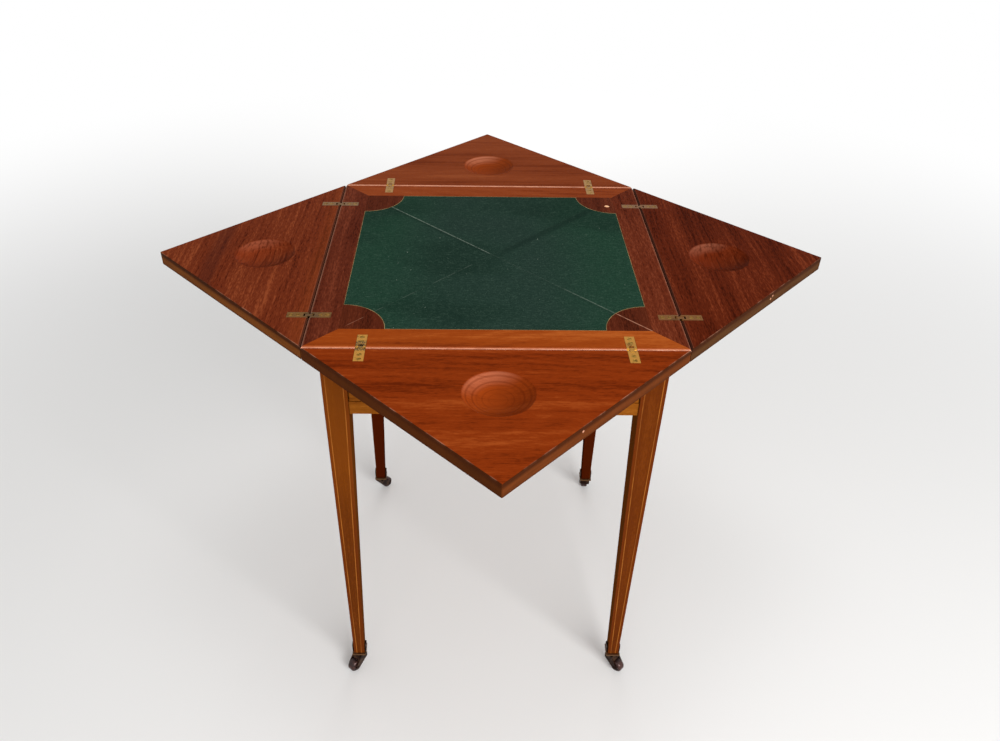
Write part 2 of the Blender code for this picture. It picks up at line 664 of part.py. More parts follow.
def castor_horn():
    """The fork with its collar, pintle and axle. The wheel trails along +Y."""
    bridge_bottom = 2 * WHEEL_RADIUS + WHEEL_ROOM
    outline = [(-COLLAR_RADIUS, COLLAR_BOTTOM), (-COLLAR_RADIUS, bridge_bottom)]
    outline += arc((CASTOR_TRAIL, WHEEL_RADIUS), HORN_EYE_RADIUS, 200, 380, LINK_STEPS)
    outline += [(COLLAR_RADIUS, COLLAR_BOTTOM)]
    fork = bar(outline, 2 * (FORK_INNER + HORN_CHEEK))
    reach = CASTOR_TRAIL + WHEEL_RADIUS
    fork = carve(fork, box((-FORK_INNER, -reach, 0), (FORK_INNER, reach, bridge_bottom)))
    stem = turned([(0, bridge_bottom + WHEEL_ROOM), (COLLAR_RADIUS, bridge_bottom + WHEEL_ROOM),
                   (COLLAR_RADIUS, COLLAR_TOP), (PINTLE_RADIUS, COLLAR_TOP),
                   (PINTLE_RADIUS, COLLAR_TOP + PINTLE_LENGTH), (0, COLLAR_TOP + PINTLE_LENGTH)])
    half = FORK_INNER + HORN_CHEEK / 2
    axle = moved(along_x(rod(AXLE_RADIUS, -half, half, PIN_STEPS)), y=CASTOR_TRAIL, z=WHEEL_RADIUS)
    return add(add(fork, stem), axle)


def castor_wheel():
    """A wheel about X, with a hub, recessed sides and round edges. It stands on a facet."""
    half, bore = WHEEL_WIDTH / 2, AXLE_RADIUS + PIN_CLEARANCE
    rim = WHEEL_RADIUS - WHEEL_EDGE
    groove = rim - WHEEL_EDGE
    half_step = math.pi / TURNED_STEPS
    tread = WHEEL_RADIUS / math.cos(half_step)
    side = [(bore, half), (HUB_RADIUS, half), (HUB_RADIUS, half - HUB_RECESS), (groove, half - HUB_RECESS),
            (groove + WHEEL_EDGE / 2, half), (rim, half), (tread, half - WHEEL_EDGE)]
    wheel = turned([(r, -x) for r, x in side] + [(r, x) for r, x in reversed(side)])
    wheel.transform(Matrix.Rotation(half_step, 4, "Z"))
    return along_x(wheel)


# The table

def build_frame(finishes):
    """Legs, rails, bearer and sockets, which stand still."""
    for corner in CORNERS:
        place(f"leg_{corner}", to_mesh("leg", leg(corner)), finishes["leg"])
        place(f"castor_socket_{corner}", to_mesh("socket", castor_socket(corner)), finishes["bronze"])
    rails = {"drawer_rail": (plain_rail(DRAWER_FLOOR, DRAWER_RAIL_SHOULDER), 0),
             "side_rail_right": (side_rail(), 90),
             "back_rail": (plain_rail(FRAME_TOP, TENON_SHOULDER), 180),
             "side_rail_left": (side_rail(), 270)}
    for name, (shape, turn) in rails.items():
        piece = place(name, to_mesh(name, shape), finishes["rail"])
        piece.rotation_euler = (0, 0, math.radians(turn))
    place("pivot_bearer", to_mesh("bearer", pivot_bearer()), finishes["deal"])


def build_top(finishes):
    """The bed and all that turns with it, on the top's axis."""
    top = axis("top_axis", (0, 0, TABLE_HEIGHT))
    place("bed_board", to_mesh("bed", bed_board()), finishes["bed"], top)
    place("baize", to_mesh("baize", baize()), finishes["baize"], top)
    place("pivot_bolt", to_mesh("bolt", pivot_bolt(), 40), finishes["steel"], top)
    place("pivot_nut", to_mesh("nut", pivot_nut()), finishes["steel"], top)
    place("lift_pin", to_mesh("pin", lift_pin(), 40), finishes["brass"], top, (*lift_pin_place(), 0))
    return top


def build_flaps(finishes, top):
    """Four flaps, each on two hinges. They share their meshes."""
    board = to_mesh("flap", flap())
    bed_plate = to_mesh("bed_plate", hinge_plate())
    flap_plate = to_mesh("flap_plate", outwards(hinge_plate()))
    link = to_mesh("link", hinge_link(), 40)
    for number, side in enumerate(SIDES):
        base = axis(f"side_axis_{side}", (0, 0, 0), 90 * number, top)
        link_axis = axis(f"link_axis_{side}", (0, PIN_INSET - HALF_BED, -PIN_DEPTH), parent=base)
        flap_axis = axis(f"flap_axis_{side}", (0, -2 * PIN_INSET, 0), parent=link_axis)
        place(f"flap_{side}", board, finishes["flap"], flap_axis)
        for letter, x in hinge_places().items():
            name = f"{side}_{letter}"
            place(f"bed_plate_{name}", bed_plate, finishes["brass"], base, (x, -HALF_BED, 0))
            place(f"hinge_link_{name}", link, finishes["brass"], link_axis, (x, 0, 0))
            place(f"flap_plate_{name}", flap_plate, finishes["brass"], flap_axis, (x, PIN_INSET, PIN_DEPTH))


def build_drawer(finishes):
    """The drawer, on an empty at the middle of its front."""
    slide = axis("drawer_axis", (0, 0, 0))
    place("drawer_front", to_mesh("drawer_front", drawer_front()), finishes["rail"], slide)
    for name, way in (("drawer_side_left", -1), ("drawer_side_right", 1)):
        side = drawer_side()
        side.transform(Matrix.Diagonal((way, 1, 1, 1)))
        place(name, to_mesh(name, side), finishes["deal"], slide)
    place("drawer_back", to_mesh("drawer_back", drawer_back()), finishes["deal"], slide)
    place("drawer_bottom", to_mesh("drawer_bottom", drawer_bottom()), finishes["deal"], slide)
    knob = to_mesh("drawer_knob", drawer_knob(), 40)
    place("drawer_knob", knob, finishes["brass"], slide, (0, -RAIL_FACE, KNOB_HEIGHT))


def build_castors(finishes):
    """Four castors, each on its swivel axis, with the wheel on its own axle."""
    horn = to_mesh("horn", castor_horn(), 40)
    wheel = to_mesh("wheel", castor_wheel(), 40)
    for corner, (across, back) in CORNERS.items():
        swivel = axis(f"castor_axis_{corner}", (FOOT_CENTRE * across, FOOT_CENTRE * back, 0),
                      CASTOR_TURNS[corner] - 90)
        place(f"castor_horn_{corner}", horn, finishes["bronze"], swivel)
        place(f"castor_wheel_{corner}", wheel, finishes["bronze"], swivel, (0, CASTOR_TRAIL, WHEEL_RADIUS))


def main():
    """Builds the whole table."""
    clear_scene()
    finishes = {
        "flap": finish("flap_mahogany", (0.24, 0.062, 0.026), 0.35),
        "bed": finish("bed_mahogany", (0.30, 0.085, 0.030), 0.35),
        "leg": finish("leg_mahogany", (0.29, 0.10, 0.028), 0.40),
        "rail": finish("rail_mahogany", (0.31, 0.11, 0.032), 0.40),
        "deal": finish("lining_pine", (0.45, 0.28, 0.13), 0.65),
        "baize": finish("green_baize", (0.012, 0.075, 0.045), 0.95),
        "brass": finish("brass", (0.55, 0.37, 0.13), 0.35, 1.0),
        "bronze": finish("castor_bronze", (0.11, 0.065, 0.035), 0.45, 0.9),
        "steel": finish("steel", (0.35, 0.34, 0.33), 0.45, 1.0),
    }
    build_frame(finishes)
    build_flaps(finishes, build_top(finishes))
    build_drawer(finishes)
    build_castors(finishes)


main()
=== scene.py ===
"""Looks of an envelope card table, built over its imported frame.

Lengths are in metres, +Z is up and the floor is Z = 0. The front, with the drawer, faces -Y.
Every piece is modelled where it stands at rest, so that its Object coordinates are the table's.
"""
import logging
import math
from dataclasses import dataclass
from enum import Enum
from functools import cache
from itertools import product
from typing import Any, Callable, Iterable, Sequence

import bmesh
import bpy
from mathutils import Matrix, Vector


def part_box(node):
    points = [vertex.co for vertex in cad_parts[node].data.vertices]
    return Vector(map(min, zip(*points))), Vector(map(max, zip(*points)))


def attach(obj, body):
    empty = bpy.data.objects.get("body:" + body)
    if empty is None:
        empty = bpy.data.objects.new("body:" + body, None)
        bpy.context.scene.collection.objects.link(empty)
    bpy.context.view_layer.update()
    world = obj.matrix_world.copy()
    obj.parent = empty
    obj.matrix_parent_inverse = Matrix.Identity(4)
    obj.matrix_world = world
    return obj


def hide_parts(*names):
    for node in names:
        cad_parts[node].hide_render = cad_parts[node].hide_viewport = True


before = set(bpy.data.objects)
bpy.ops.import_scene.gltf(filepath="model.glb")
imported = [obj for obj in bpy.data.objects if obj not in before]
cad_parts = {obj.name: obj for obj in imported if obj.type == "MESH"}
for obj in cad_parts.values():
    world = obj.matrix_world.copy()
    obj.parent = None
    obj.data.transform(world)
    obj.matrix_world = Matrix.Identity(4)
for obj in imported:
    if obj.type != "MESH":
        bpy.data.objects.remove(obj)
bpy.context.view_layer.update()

LOG = logging.getLogger("card_table")

MM = 0.001
CLEARANCE = 0.3 * MM
OVERRUN = 2.0 * MM
# Places closer than this are the same.
TOUCH = MM / 100
# How much of X and of Y goes into a length along a diagonal.
DIAGONAL = 0.7071
# An edge that turns by more is sharp.
SHARP_TURN = math.radians(50)

Flat = tuple[float, float]
Spot = tuple[float, float, float]
Colour = tuple[float, float, float]
Shape = bmesh.types.BMesh
Edge = bmesh.types.BMEdge
Vertex = bmesh.types.BMVert

UP: Spot = (0.0, 0.0, 1.0)


class Side(Enum):
    """The four sides, by their quarter turns from the front."""

    FRONT = 0
    RIGHT = 1
    BACK = 2
    LEFT = 3

    @property
    def label(self) -> str:
        """The side's name in the frame."""
        return self.name.lower()

    @property
    def turn(self) -> Matrix:
        """The turn from the front to this side."""
        return Matrix.Rotation(math.pi / 2 * self.value, 4, "Z")


class Corner(Enum):
    """The four corners, by their signs along X and Y."""

    FRONT_LEFT = (-1, -1)
    FRONT_RIGHT = (1, -1)
    BACK_LEFT = (-1, 1)
    BACK_RIGHT = (1, 1)

    @property
    def label(self) -> str:
        """The corner's name in the frame."""
        return self.name.lower()

    @property
    def mirror(self) -> Matrix:
        """The mirroring from the corner at +X and +Y to this one."""
        return Matrix.Diagonal((*self.value, 1, 1))


class Grain(Enum):
    """The way the grain runs, as the turn that lays it along X."""

    ALONG_X = (0.0, 0.0, 0.0)
    ALONG_Y = (0.0, 0.0, -math.pi / 2)
    ALONG_Z = (0.0, math.pi / 2, 0.0)


@dataclass(frozen=True)
class Plan:
    """Sizes shared by the pieces, as the frame has them."""

    top: float
    half_bed: float
    half_cloth: float
    board: float
    reach: float
    half_frame: float
    frame_top: float
    frame_bottom: float
    leg_bottom: float
    leg_inner: float
    rail_face: float
    drawer_floor: float
    hinge_reach: float

    @classmethod
    def of_frame(cls) -> "Plan":
        """Reads the sizes off the frame's pieces.

        Returns:
            The sizes.
        """
        bed_low, bed_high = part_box("bed_board")
        flap_low, flap_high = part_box("flap_right")
        leg_low, leg_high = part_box("leg_back_right")
        rail_low, rail_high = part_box("side_rail_right")
        hinge_low, hinge_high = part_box("bed_plate_front_b")
        return cls(top=bed_high.z, half_bed=(bed_high.x + flap_low.x) / 2,
                   half_cloth=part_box("baize")[1].x, board=bed_high.z - bed_low.z, reach=flap_high.x,
                   half_frame=leg_high.x, frame_top=leg_high.z, frame_bottom=rail_low.z,
                   leg_bottom=leg_low.z, leg_inner=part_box("drawer_front")[1].x + MM,
                   rail_face=rail_high.x, drawer_floor=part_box("drawer_rail")[1].z,
                   hinge_reach=(hinge_low.x + hinge_high.x) / 2)


PLAN = Plan.of_frame()


def srgb(red: float, green: float, blue: float) -> Colour:
    """Turns a colour of 0 to 255, as it shows on a screen, into linear light."""
    shares = (red / 255, green / 255, blue / 255)
    return tuple(c / 12.92 if c <= 0.04045 else ((c + 0.055) / 1.055) ** 2.4 for c in shares)


def srgbs(*shades: Spot) -> tuple[Colour, ...]:
    """Turns several colours of 0 to 255 into linear light."""
    return tuple(srgb(*shade) for shade in shades)


# Node trees

class Signal:
    """An output socket with arithmetic: each operation adds a node to its tree."""

    def __init__(self, tree: "Tree", socket: bpy.types.NodeSocket | None) -> None:
        """Holds a socket and the tree that it belongs to."""
        self.tree = tree
        self.socket = socket

    def math(self, operation: str, *others: Any) -> "Signal":
        """The result of an operation on this and the others."""
        return self.tree.math(operation, self, *others)

    def __add__(self, other: Any) -> "Signal":
        """This plus the other."""
        return self.math("ADD", other)

    def __sub__(self, other: Any) -> "Signal":
        """This less the other."""
        return self.math("SUBTRACT", other)

    def __rsub__(self, other: float) -> "Signal":
        """The other less this."""
        return self.tree.math("SUBTRACT", other, self)

    def __mul__(self, other: Any) -> "Signal":
        """This times the other."""
        return self.math("MULTIPLY", other)

    def __truediv__(self, other: Any) -> "Signal":
        """This over the other."""
        return self.math("DIVIDE", other)

    def __rtruediv__(self, other: float) -> "Signal":
        """The other over this."""
        return self.tree.math("DIVIDE", other, self)

    def __pow__(self, other: float) -> "Signal":
        """This to a power."""
        return self.math("POWER", other)

    def __abs__(self) -> "Signal":
        """This without its sign."""
        return self.math("ABSOLUTE")

    __radd__ = __add__
    __rmul__ = __mul__

    def least(self, other: Any) -> "Signal":
        """The smaller of the two."""
        return self.math("MINIMUM", other)

    def most(self, other: Any) -> "Signal":
        """The larger of the two."""
        return self.math("MAXIMUM", other)

    def ramp(self, start: float, end: float, low: float = 0.0, high: float = 1.0) -> "Signal":
        """Eases from low to high as this goes from start to end; start may be the larger."""
        inputs = {"Value": self, "From Min": start, "From Max": end, "To Min": low, "To Max": high}
        return self.tree.add("ShaderNodeMapRange", {"interpolation_type": "SMOOTHSTEP"}, inputs)

    def line(self, centre: float, half_width: float, soft: float) -> "Signal":
        """One inside a band of values, nought outside it, with soft edges."""
        return abs(self - centre).ramp(half_width + soft, half_width)


class Tree:
    """Adds nodes to one tree, each by its type, settings and sockets."""

    def __init__(self, nodes: bpy.types.NodeTree) -> None:
        """Holds the node tree."""
        self.nodes = nodes

    @classmethod
    def of(cls, owner: bpy.types.Material | bpy.types.World) -> "Tree":
        """Empties the tree of a material or a world.

        Args:
            owner: The material or the world.
        Returns:
            The empty tree.
        """
        owner.use_nodes = True
        owner.node_tree.nodes.clear()
        return cls(owner.node_tree)

    def add(self, kind: str, settings: dict[str, Any] | None = None,
            inputs: dict[Any, Any] | None = None, output: Any = 0) -> Signal:
        """Adds a node.

        Args:
            kind: The node's type.
            settings: Its properties, set before its sockets.
            inputs: Values or signals, by socket name, identifier or place.
            output: The name or the place of the socket to return.
        Returns:
            The chosen output.
        """
        node = self.nodes.nodes.new(kind)
        for name, value in (settings or {}).items():
            setattr(node, name, value)
        for key, value in (inputs or {}).items():
            socket = self.find(node.inputs, key)
            for one in value if isinstance(value, list) else [value]:
                if isinstance(one, Signal):
                    self.nodes.links.new(one.socket, socket)
                else:
                    socket.default_value = one
        return Signal(self, self.find(node.outputs, output) if node.outputs else None)

    @staticmethod
    def find(sockets: Any, key: Any) -> bpy.types.NodeSocket:
        """Finds a socket.

        Args:
            sockets: The node's inputs or outputs.
            key: The socket's place, identifier or name.
        Returns:
            The socket.
        """
        if isinstance(key, int):
            return sockets[key]
        named = [one for one in sockets if one.identifier == key]
        return named[0] if named else sockets[key]

    def math(self, operation: str, *values: Any) -> Signal:
        """The result of an operation on numbers or signals."""
        return self.add("ShaderNodeMath", {"operation": operation}, dict(enumerate(values)))

    def place(self, grain: Grain = Grain.ALONG_X) -> Signal:
        """Reads the object's own coordinates.

        Args:
            grain: The way that is laid along X.
        Returns:
            The coordinates.
        """
        spot = self.add("ShaderNodeTexCoord", output="Object")
        if grain is Grain.ALONG_X:
            return spot
        return self.add("ShaderNodeMapping", inputs={"Vector": spot, "Rotation": grain.value})

    def parts(self, vector: Signal) -> tuple[Signal, Signal, Signal]:
        """A vector's three parts."""
        split = self.add("ShaderNodeSeparateXYZ", inputs={0: vector})
        return tuple(Signal(self, socket) for socket in split.socket.node.outputs)

    def mix(self, factor: Any, first: Any, second: Any) -> Signal:
        """Mixes two colours.

        Args:
            factor: The share of the second.
            first, second: Colours or signals.
        Returns:
            The mixed colour.
        """
        pair = [(*c, 1.0) if isinstance(c, tuple) else c for c in (first, second)]
        inputs = {"Factor_Float": factor, "A_Color": pair[0], "B_Color": pair[1]}
        return self.add("ShaderNodeMix", {"data_type": "RGBA"}, inputs, "Result_Color")

    def bump(self, height: Signal, distance: float, strength: float = 1.0) -> Signal:
        """A normal that follows a height, of so many metres for one."""
        return self.add("ShaderNodeBump",
                        inputs={"Height": height, "Distance": distance, "Strength": strength})

    def surface(self, **inputs: Any) -> None:
        """Ends a material in a Principled shader.

        Args:
            inputs: Values or signals by socket name, with underscores for its spaces.
        """
        sockets = {name.replace("_", " "): value for name, value in inputs.items()}
        if isinstance(sockets.get("Base Color"), tuple):
            sockets["Base Color"] = (*sockets["Base Color"], 1.0)
        shader = self.add("ShaderNodeBsdfPrincipled", inputs=sockets)
        self.add("ShaderNodeOutputMaterial", inputs={"Surface": shader})


class Finish:
    """A finish makes its material once."""

    name: str
    made: dict[Any, bpy.types.Material] = {}

    def material(self) -> bpy.types.Material:
        """Makes the finish's material, or finds it.

        Returns:
            The material.
        """
        if self not in Finish.made:
            material = bpy.data.materials.new(self.name)
            self.fill(Tree.of(material))
            Finish.made[self] = material
        return Finish.made[self]

    def fill(self, tree: Tree) -> None:
        """Writes the finish into an empty tree."""
        raise NotImplementedError


# Finishes

def shade(colour: Colour, share: float) -> Colour:
    """A colour times a share."""
    return tuple(part * share for part in colour)


@dataclass(frozen=True)
class Layer:
    """One layer of noise in a finish: its scale per metre, its place in the noise, its strength.

    DRIFT is how far its place moves along each axis.
    """

    scale: Spot
    shift: float
    detail: float = 2.0
    roughness: float = 0.5
    distortion: float = 0.0
    strength: float = 0.5

    DRIFT = (1.0, 1.7, 0.6)

    def read(self, tree: Tree, place: Signal, board: float = 0.0) -> Signal:
        """Adds the noise, of about 0 to 1.

        Args:
            tree: The material's tree.
            place: Where to read it.
            board: Moves it for one board.
        Returns:
            The noise.
        """
        shift = tuple((board + self.shift) * share for share in self.DRIFT)
        spot = tree.add("ShaderNodeVectorMath", {"operation": "MULTIPLY_ADD"},
                        {0: place, 1: self.scale, 2: shift})
        inputs = {"Vector": spot, "Scale": 1.0, "Detail": self.detail, "Roughness": self.roughness,
                  "Distortion": self.distortion}
        return tree.add("ShaderNodeTexNoise", inputs=inputs)


@dataclass(frozen=True)
class Mahogany(Finish):
    """Polished mahogany: growth rings, ribbon, streaks, fibre and pores along the grain."""

    name: str
    dark: Colour
    mid: Colour
    light: Colour
    grain: Grain = Grain.ALONG_X
    shift: float = 0.0
    heart: Flat = (0.05, 0.11)
    lean: float = 0.12
    ring_gap: float = 9 * MM
    ring_sway: Flat = (0.07, 4.0)
    figure: float = 0.35
    fleck: float = 0.9
    pore_depth: float = 0.42
    relief: float = 0.02 * MM
    rough: Flat = (0.39, 0.30)
    shine: float = 0.003
    coat_roughness: float = 0.2

    SWAY = Layer((2.2, 6.0, 6.0), 5.3)
    WANDER = Layer((3.0, 24.0, 24.0), 9.7)
    RIBBON = Layer((1.3, 26.0, 26.0), 0.0, 3.0, 0.55, 0.3, 1.25)
    STREAKS = Layer((5.0, 150.0, 150.0), 1.9, 3.0, 0.6, 0.0, 0.9)
    FIBRE = Layer((25.0, 900.0, 900.0), 2.7)
    BLOTCHES = Layer((4.0, 7.0, 7.0), 7.1)
    FLECKS = Layer((110.0, 520.0, 520.0), 6.6, 2.0, 0.6)
    PORES = Layer((110.0, 3000.0, 3000.0), 4.4, 1.0)
    HAIR = Layer((25.0, 1100.0, 1100.0), 3.1, 1.0, strength=0.35)

    def fill(self, tree: Tree) -> None:
        """Writes the polished wood.

        Args:
            tree: The material's tree.
        """
        place = tree.place(self.grain)
        tone, pores = self.tone(tree, place)
        colour = tree.mix(tone.ramp(0.0, 0.5), self.dark, self.mid)
        colour = tree.mix(tone.ramp(0.5, 1.0), colour, self.light)
        colour = tree.mix(pores * self.pore_depth, colour, shade(self.dark, self.pore_depth))
        colour, polish = self.marks(tree, colour)
        height = self.HAIR.read(tree, place, self.shift) * self.HAIR.strength - pores
        tree.surface(Base_Color=colour, Roughness=tone.ramp(0.0, 1.0, *self.rough),
                     Specular_IOR_Level=self.shine, Coat_Weight=polish,
                     Coat_Roughness=self.coat_roughness, Normal=tree.bump(height, self.relief, 0.5))

    def tone(self, tree: Tree, place: Signal) -> tuple[Signal, Signal]:
        """Lays the growth rings round the tree's heart, and the layers over them.

        Args:
            tree: The material's tree.
            place: Where to read it, with the grain along X.
        Returns:
            The wood's lightness of 0 to 1, and where its pores are.
        """
        along, across, _ = tree.parts(place)
        sway = self.SWAY.read(tree, place, self.shift)
        offset = across - self.heart[0] + (sway - 0.5) * self.ring_sway[0]
        below = along * self.lean + self.heart[1]
        radius = (offset * offset + below * below) ** 0.5
        wander = self.WANDER.read(tree, place, self.shift) * self.ring_sway[1]
        rings = (radius * (2 * math.pi / self.ring_gap) + wander).math("SINE")
        tone = 0.5 + rings * (self.figure * 0.21)
        for layer in (self.RIBBON, self.STREAKS, self.FIBRE, self.BLOTCHES):
            tone = tone + (layer.read(tree, place, self.shift) - 0.5) * layer.strength
        tone = tone + (self.FLECKS.read(tree, place, self.shift) - 0.5) * self.fleck
        return tone, self.PORES.read(tree, place, self.shift).ramp(0.6, 0.74)

    def marks(self, tree: Tree, colour: Signal) -> tuple[Signal, Any]:
        """The wood's colour with its marks, and how polished it is."""
        return colour, 0.0


@dataclass(frozen=True)
class Streak:
    """A streak along the joint: how far out it lies, its width and its colour."""

    out: float
    half_width: float
    soft: float
    colour: Colour
    strength: float


@dataclass(frozen=True)
class Bowl:
    """How a well is turned, with light and shade painted into it: its side and colour, and the share of each
    effect.
    """

    side: Side
    colour: Colour
    tint: float
    # The shares of left, near and far are painted light and shade: light on the bowl's left, shade on its
    # near wall and a sheen on its far wall; the sheen's start is a share of the radius.
    left: float
    near: float
    far: float
    far_start: float
    lines: float
    rings: float = 0.25


@dataclass(frozen=True)
class TopMahogany(Mahogany):
    """The boards of the top: worn at the joints and the outer edges, turned in the wells, with highlight and
    shadow painted along the joints and light and shade painted in the wells.

    A band of distances is given by its middle, half its width and the width over which it fades.
    """

    # The two slanted edges' colours; where they differ, the edge facing the light is painted lighter: painted
    # light.
    edges: tuple[Colour, Colour] = (srgb(96, 54, 22), srgb(96, 54, 22))
    edge_dark: Colour = srgb(56, 28, 12)
    # A pale colour for real wear, also used for the painted highlights at the joints and the painted sheen in
    # the wells.
    worn: Colour = srgb(236, 170, 138)
    # The joint's pale line, its width and share: partly real wear, partly a painted highlight on the rounded
    # edge.
    wear: Flat = (1.0 * MM, 0.15)
    # A pale band painted along the joint: a painted highlight on its rounded edges.
    halo: float = 0.12
    shadow: float = 0.0
    streaks: tuple[Streak, ...] = ()
    chips: tuple[Spot, ...] = ()
    bowl: Bowl | None = None
    scratches: bool = False

    DRIFT = Layer((9.0, 9.0, 9.0), 3.3, strength=12 * MM)
    RUB = Layer((60.0, 60.0, 200.0), 2.0, 3.0)
    EDGE_TONE = Layer((12.0, 12.0, 160.0), 1.2, 3.0)
    EDGE_RUB = Layer((45.0, 45.0, 45.0), 8.8, 3.0)
    SCRATCH = Layer((90.0, 90.0, 90.0), 7.4)
    BOWL_LINES = Layer((9.0, 260.0, 260.0), 4.9, 3.0, 0.6)
    ARRIS = (5.0 * MM, 2.5 * MM)
    HALO = (0.0, 1.5 * MM, 3.0 * MM)
    SHADOW = (1.2 * MM, 1.2 * MM, 0.9 * MM)
    CHIP = (2.6 * MM, 1.0 * MM)
    EDGE = (-1.0 * MM, -0.5 * MM)
    EDGE_GOLD = (0.62, 0.14, 0.30)
    EDGE_LINE = (-0.8 * MM, 0.3 * MM, 0.6 * MM)
    LONG_SCRATCH = (0.0, 0.4 * MM, 1.6 * MM)
    LONG_START = (0.16, 0.165)
    SHORT_SCRATCH = (1.5 * MM, 0.4 * MM, 0.8 * MM)
    SHORT_REACH = (0.203, 0.008, 0.006)
    # The band of the far wall where the painted sheen lies.
    WALL = (42 * MM, 6 * MM, 12 * MM)
    FINE_GAP = 2.9 * MM
    RIM = (47.6 * MM, 0.6 * MM, 1.6 * MM)
    RING_WIDTH = (0.5 * MM, 1.3 * MM)
    RINGS = ((42.6 * MM, 0.45), (34.0 * MM, 0.5), (28.5 * MM, 0.2), (21.0 * MM, 0.3),
             (12.5 * MM, 0.18))

    def marks(self, tree: Tree, colour: Signal) -> tuple[Signal, Signal]:
        """Adds the streaks, the well, the scratches, the rubbed joints with a painted highlight and a painted
        shadow, and the outer edges.

        Args:
            tree: The material's tree.
            colour: The plain wood.
        Returns:
            The marked wood, and how polished it is.
        """
        place = tree.place()
        x, y, z = tree.parts(place)
        out = abs(x).most(abs(y))
        sway = (self.DRIFT.read(tree, place, self.shift) - 0.5) * self.DRIFT.strength
        for streak in self.streaks:
            mask = (out + sway).line(streak.out, streak.half_width, streak.soft)
            colour = tree.mix(mask * streak.strength, colour, streak.colour)
        if self.bowl:
            colour = self.well_marks(tree, colour, x, y)
        if self.scratches:
            colour = self.scratch_marks(tree, colour, x, y)
        rub = self.RUB.read(tree, place).ramp(0.25, 0.6, 0.45, 1.0)
        arris = (PLAN.top - z).ramp(*self.ARRIS)
        past = out - PLAN.half_bed
        # The joint's pale line is partly wear and partly a painted highlight; the band round it is a painted
        # highlight, and the dark line beside it a painted shadow.
        joint = past.line(0.0, self.wear[0], 0.9 * MM) * rub * arris
        colour = tree.mix(past.line(*self.HALO) * arris * self.halo, colour, self.worn)
        colour = tree.mix(joint * self.wear[1], colour, self.worn)
        shadow = past.line(*self.SHADOW) * arris
        colour = tree.mix(shadow * self.shadow, colour, shade(self.dark, 0.3))
        colour = self.side_marks(tree, colour, x, y, z)
        for chip in self.chips:
            away = tree.add("ShaderNodeVectorMath", {"operation": "DISTANCE"}, {0: place, 1: chip}, "Value")
            colour = tree.mix((away + sway * 0.08).ramp(*self.CHIP) * 0.7, colour, self.worn)
        return colour, joint * (self.wear[1] * 0.5)

    def side_marks(self, tree: Tree, colour: Signal, x: Signal, y: Signal, z: Signal) -> Signal:
        """Tints the outer edges: dark under the arris, gold in the middle, rubbed on the arris; where the two
        edge colours differ, the slanted edge toward the light is painted lighter.

        Args:
            tree: The material's tree.
            colour: The wood so far.
            x, y, z: The place on the table.
        Returns:
            The wood with its edges.
        """
        down = (PLAN.top - z) / PLAN.board
        tone = self.EDGE_TONE.read(tree, tree.place(), self.shift)
        gold = down.line(*self.EDGE_GOLD) * tone.ramp(0.25, 0.6, 0.55, 1.0)
        # Where the two edge colours differ, they paint the light falling on one slanted edge and not the
        # other.
        both = tree.mix((x * y).ramp(-MM, MM), *self.edges)
        past = abs(x) + abs(y) - PLAN.reach
        colour = tree.mix(past.ramp(*self.EDGE) * 0.94, colour, tree.mix(gold, self.edge_dark, both))
        rub = self.EDGE_RUB.read(tree, tree.place(), self.shift).ramp(0.45, 0.7)
        rub = past.line(*self.EDGE_LINE) * rub * down.ramp(0.2, 0.05)
        return tree.mix(rub * 0.3, colour, self.worn)

    def scratch_marks(self, tree: Tree, colour: Signal, x: Signal, y: Signal) -> Signal:
        """Draws a long pale scratch over the front right corner and a short one at the front left.

        Args:
            tree: The material's tree.
            colour: The wood so far.
            x, y: The place on the table.
        Returns:
            The scratched wood.
        """
        noise = self.SCRATCH.read(tree, tree.place())
        long = (x + y + (noise - 0.5) * (0.8 * MM)).line(*self.LONG_SCRATCH)
        long = long * ((x - y) * 0.5).ramp(*self.LONG_START) * noise.ramp(0.3, 0.6, 0.1, 0.42)
        colour = tree.mix(long, colour, self.worn)
        short = (x - y + (noise - 0.5) * (0.5 * MM)).line(*self.SHORT_SCRATCH)
        short = short * ((x + y) * -0.5).line(*self.SHORT_REACH) * noise.ramp(0.3, 0.55, 0.08, 0.22)
        return tree.mix(short, colour, self.worn)

    def well_marks(self, tree: Tree, colour: Signal, x: Signal, y: Signal) -> Signal:
        """Turns rings into a warmer bowl, with painted light on its left, a painted sheen on its far wall,
        painted shade on its near wall and a darker line at its rim.

        Args:
            tree: The material's tree.
            colour: The wood so far.
            x, y: The place on the table.
        Returns:
            The turned wood.
        """
        bowl, size = self.bowl, Well.radius
        middle = bowl.side.turn @ Vector((0.0, -PLAN.half_bed - Well.from_joint, 0.0))
        right, back = x - middle.x, y - middle.y
        radius = (right * right + back * back) ** 0.5
        inside = radius.ramp(size + 0.2 * MM, size - 2 * MM)
        fine = (radius * (2 * math.pi / self.FINE_GAP)).math("SINE") * 0.5 + 0.5
        lines = self.BOWL_LINES.read(tree, tree.place(self.grain), self.shift).ramp(0.48, 0.66)
        # Painted light and shade, as the light falls from the front right: lighter on the left, darker on the
        # near wall, a pale painted sheen on the far wall.
        left = right.ramp(0.6 * size, -0.6 * size)
        near = (back * 0.9 - right * 0.4).ramp(0.0, -size)
        far = (back * 0.9 - right * 0.44).ramp(bowl.far_start * size, size) * radius.line(*self.WALL)
        for mask, strength, tint in ((inside, bowl.tint, bowl.colour),
                                     (inside * fine, 0.08, self.dark),
                                     (inside * left, bowl.left, shade(bowl.colour, 1.6)),
                                     (inside * near, bowl.near, self.dark),
                                     (inside * far, bowl.far, self.worn),
                                     (inside * lines, bowl.lines, self.dark)):
            colour = tree.mix(mask * strength, colour, tint)
        for place, strength in self.RINGS:
            line = radius.line(place, *self.RING_WIDTH)
            colour = tree.mix(line * (strength * bowl.rings), colour, self.dark)
        return tree.mix(radius.line(*self.RIM) * 0.16, colour, self.dark)


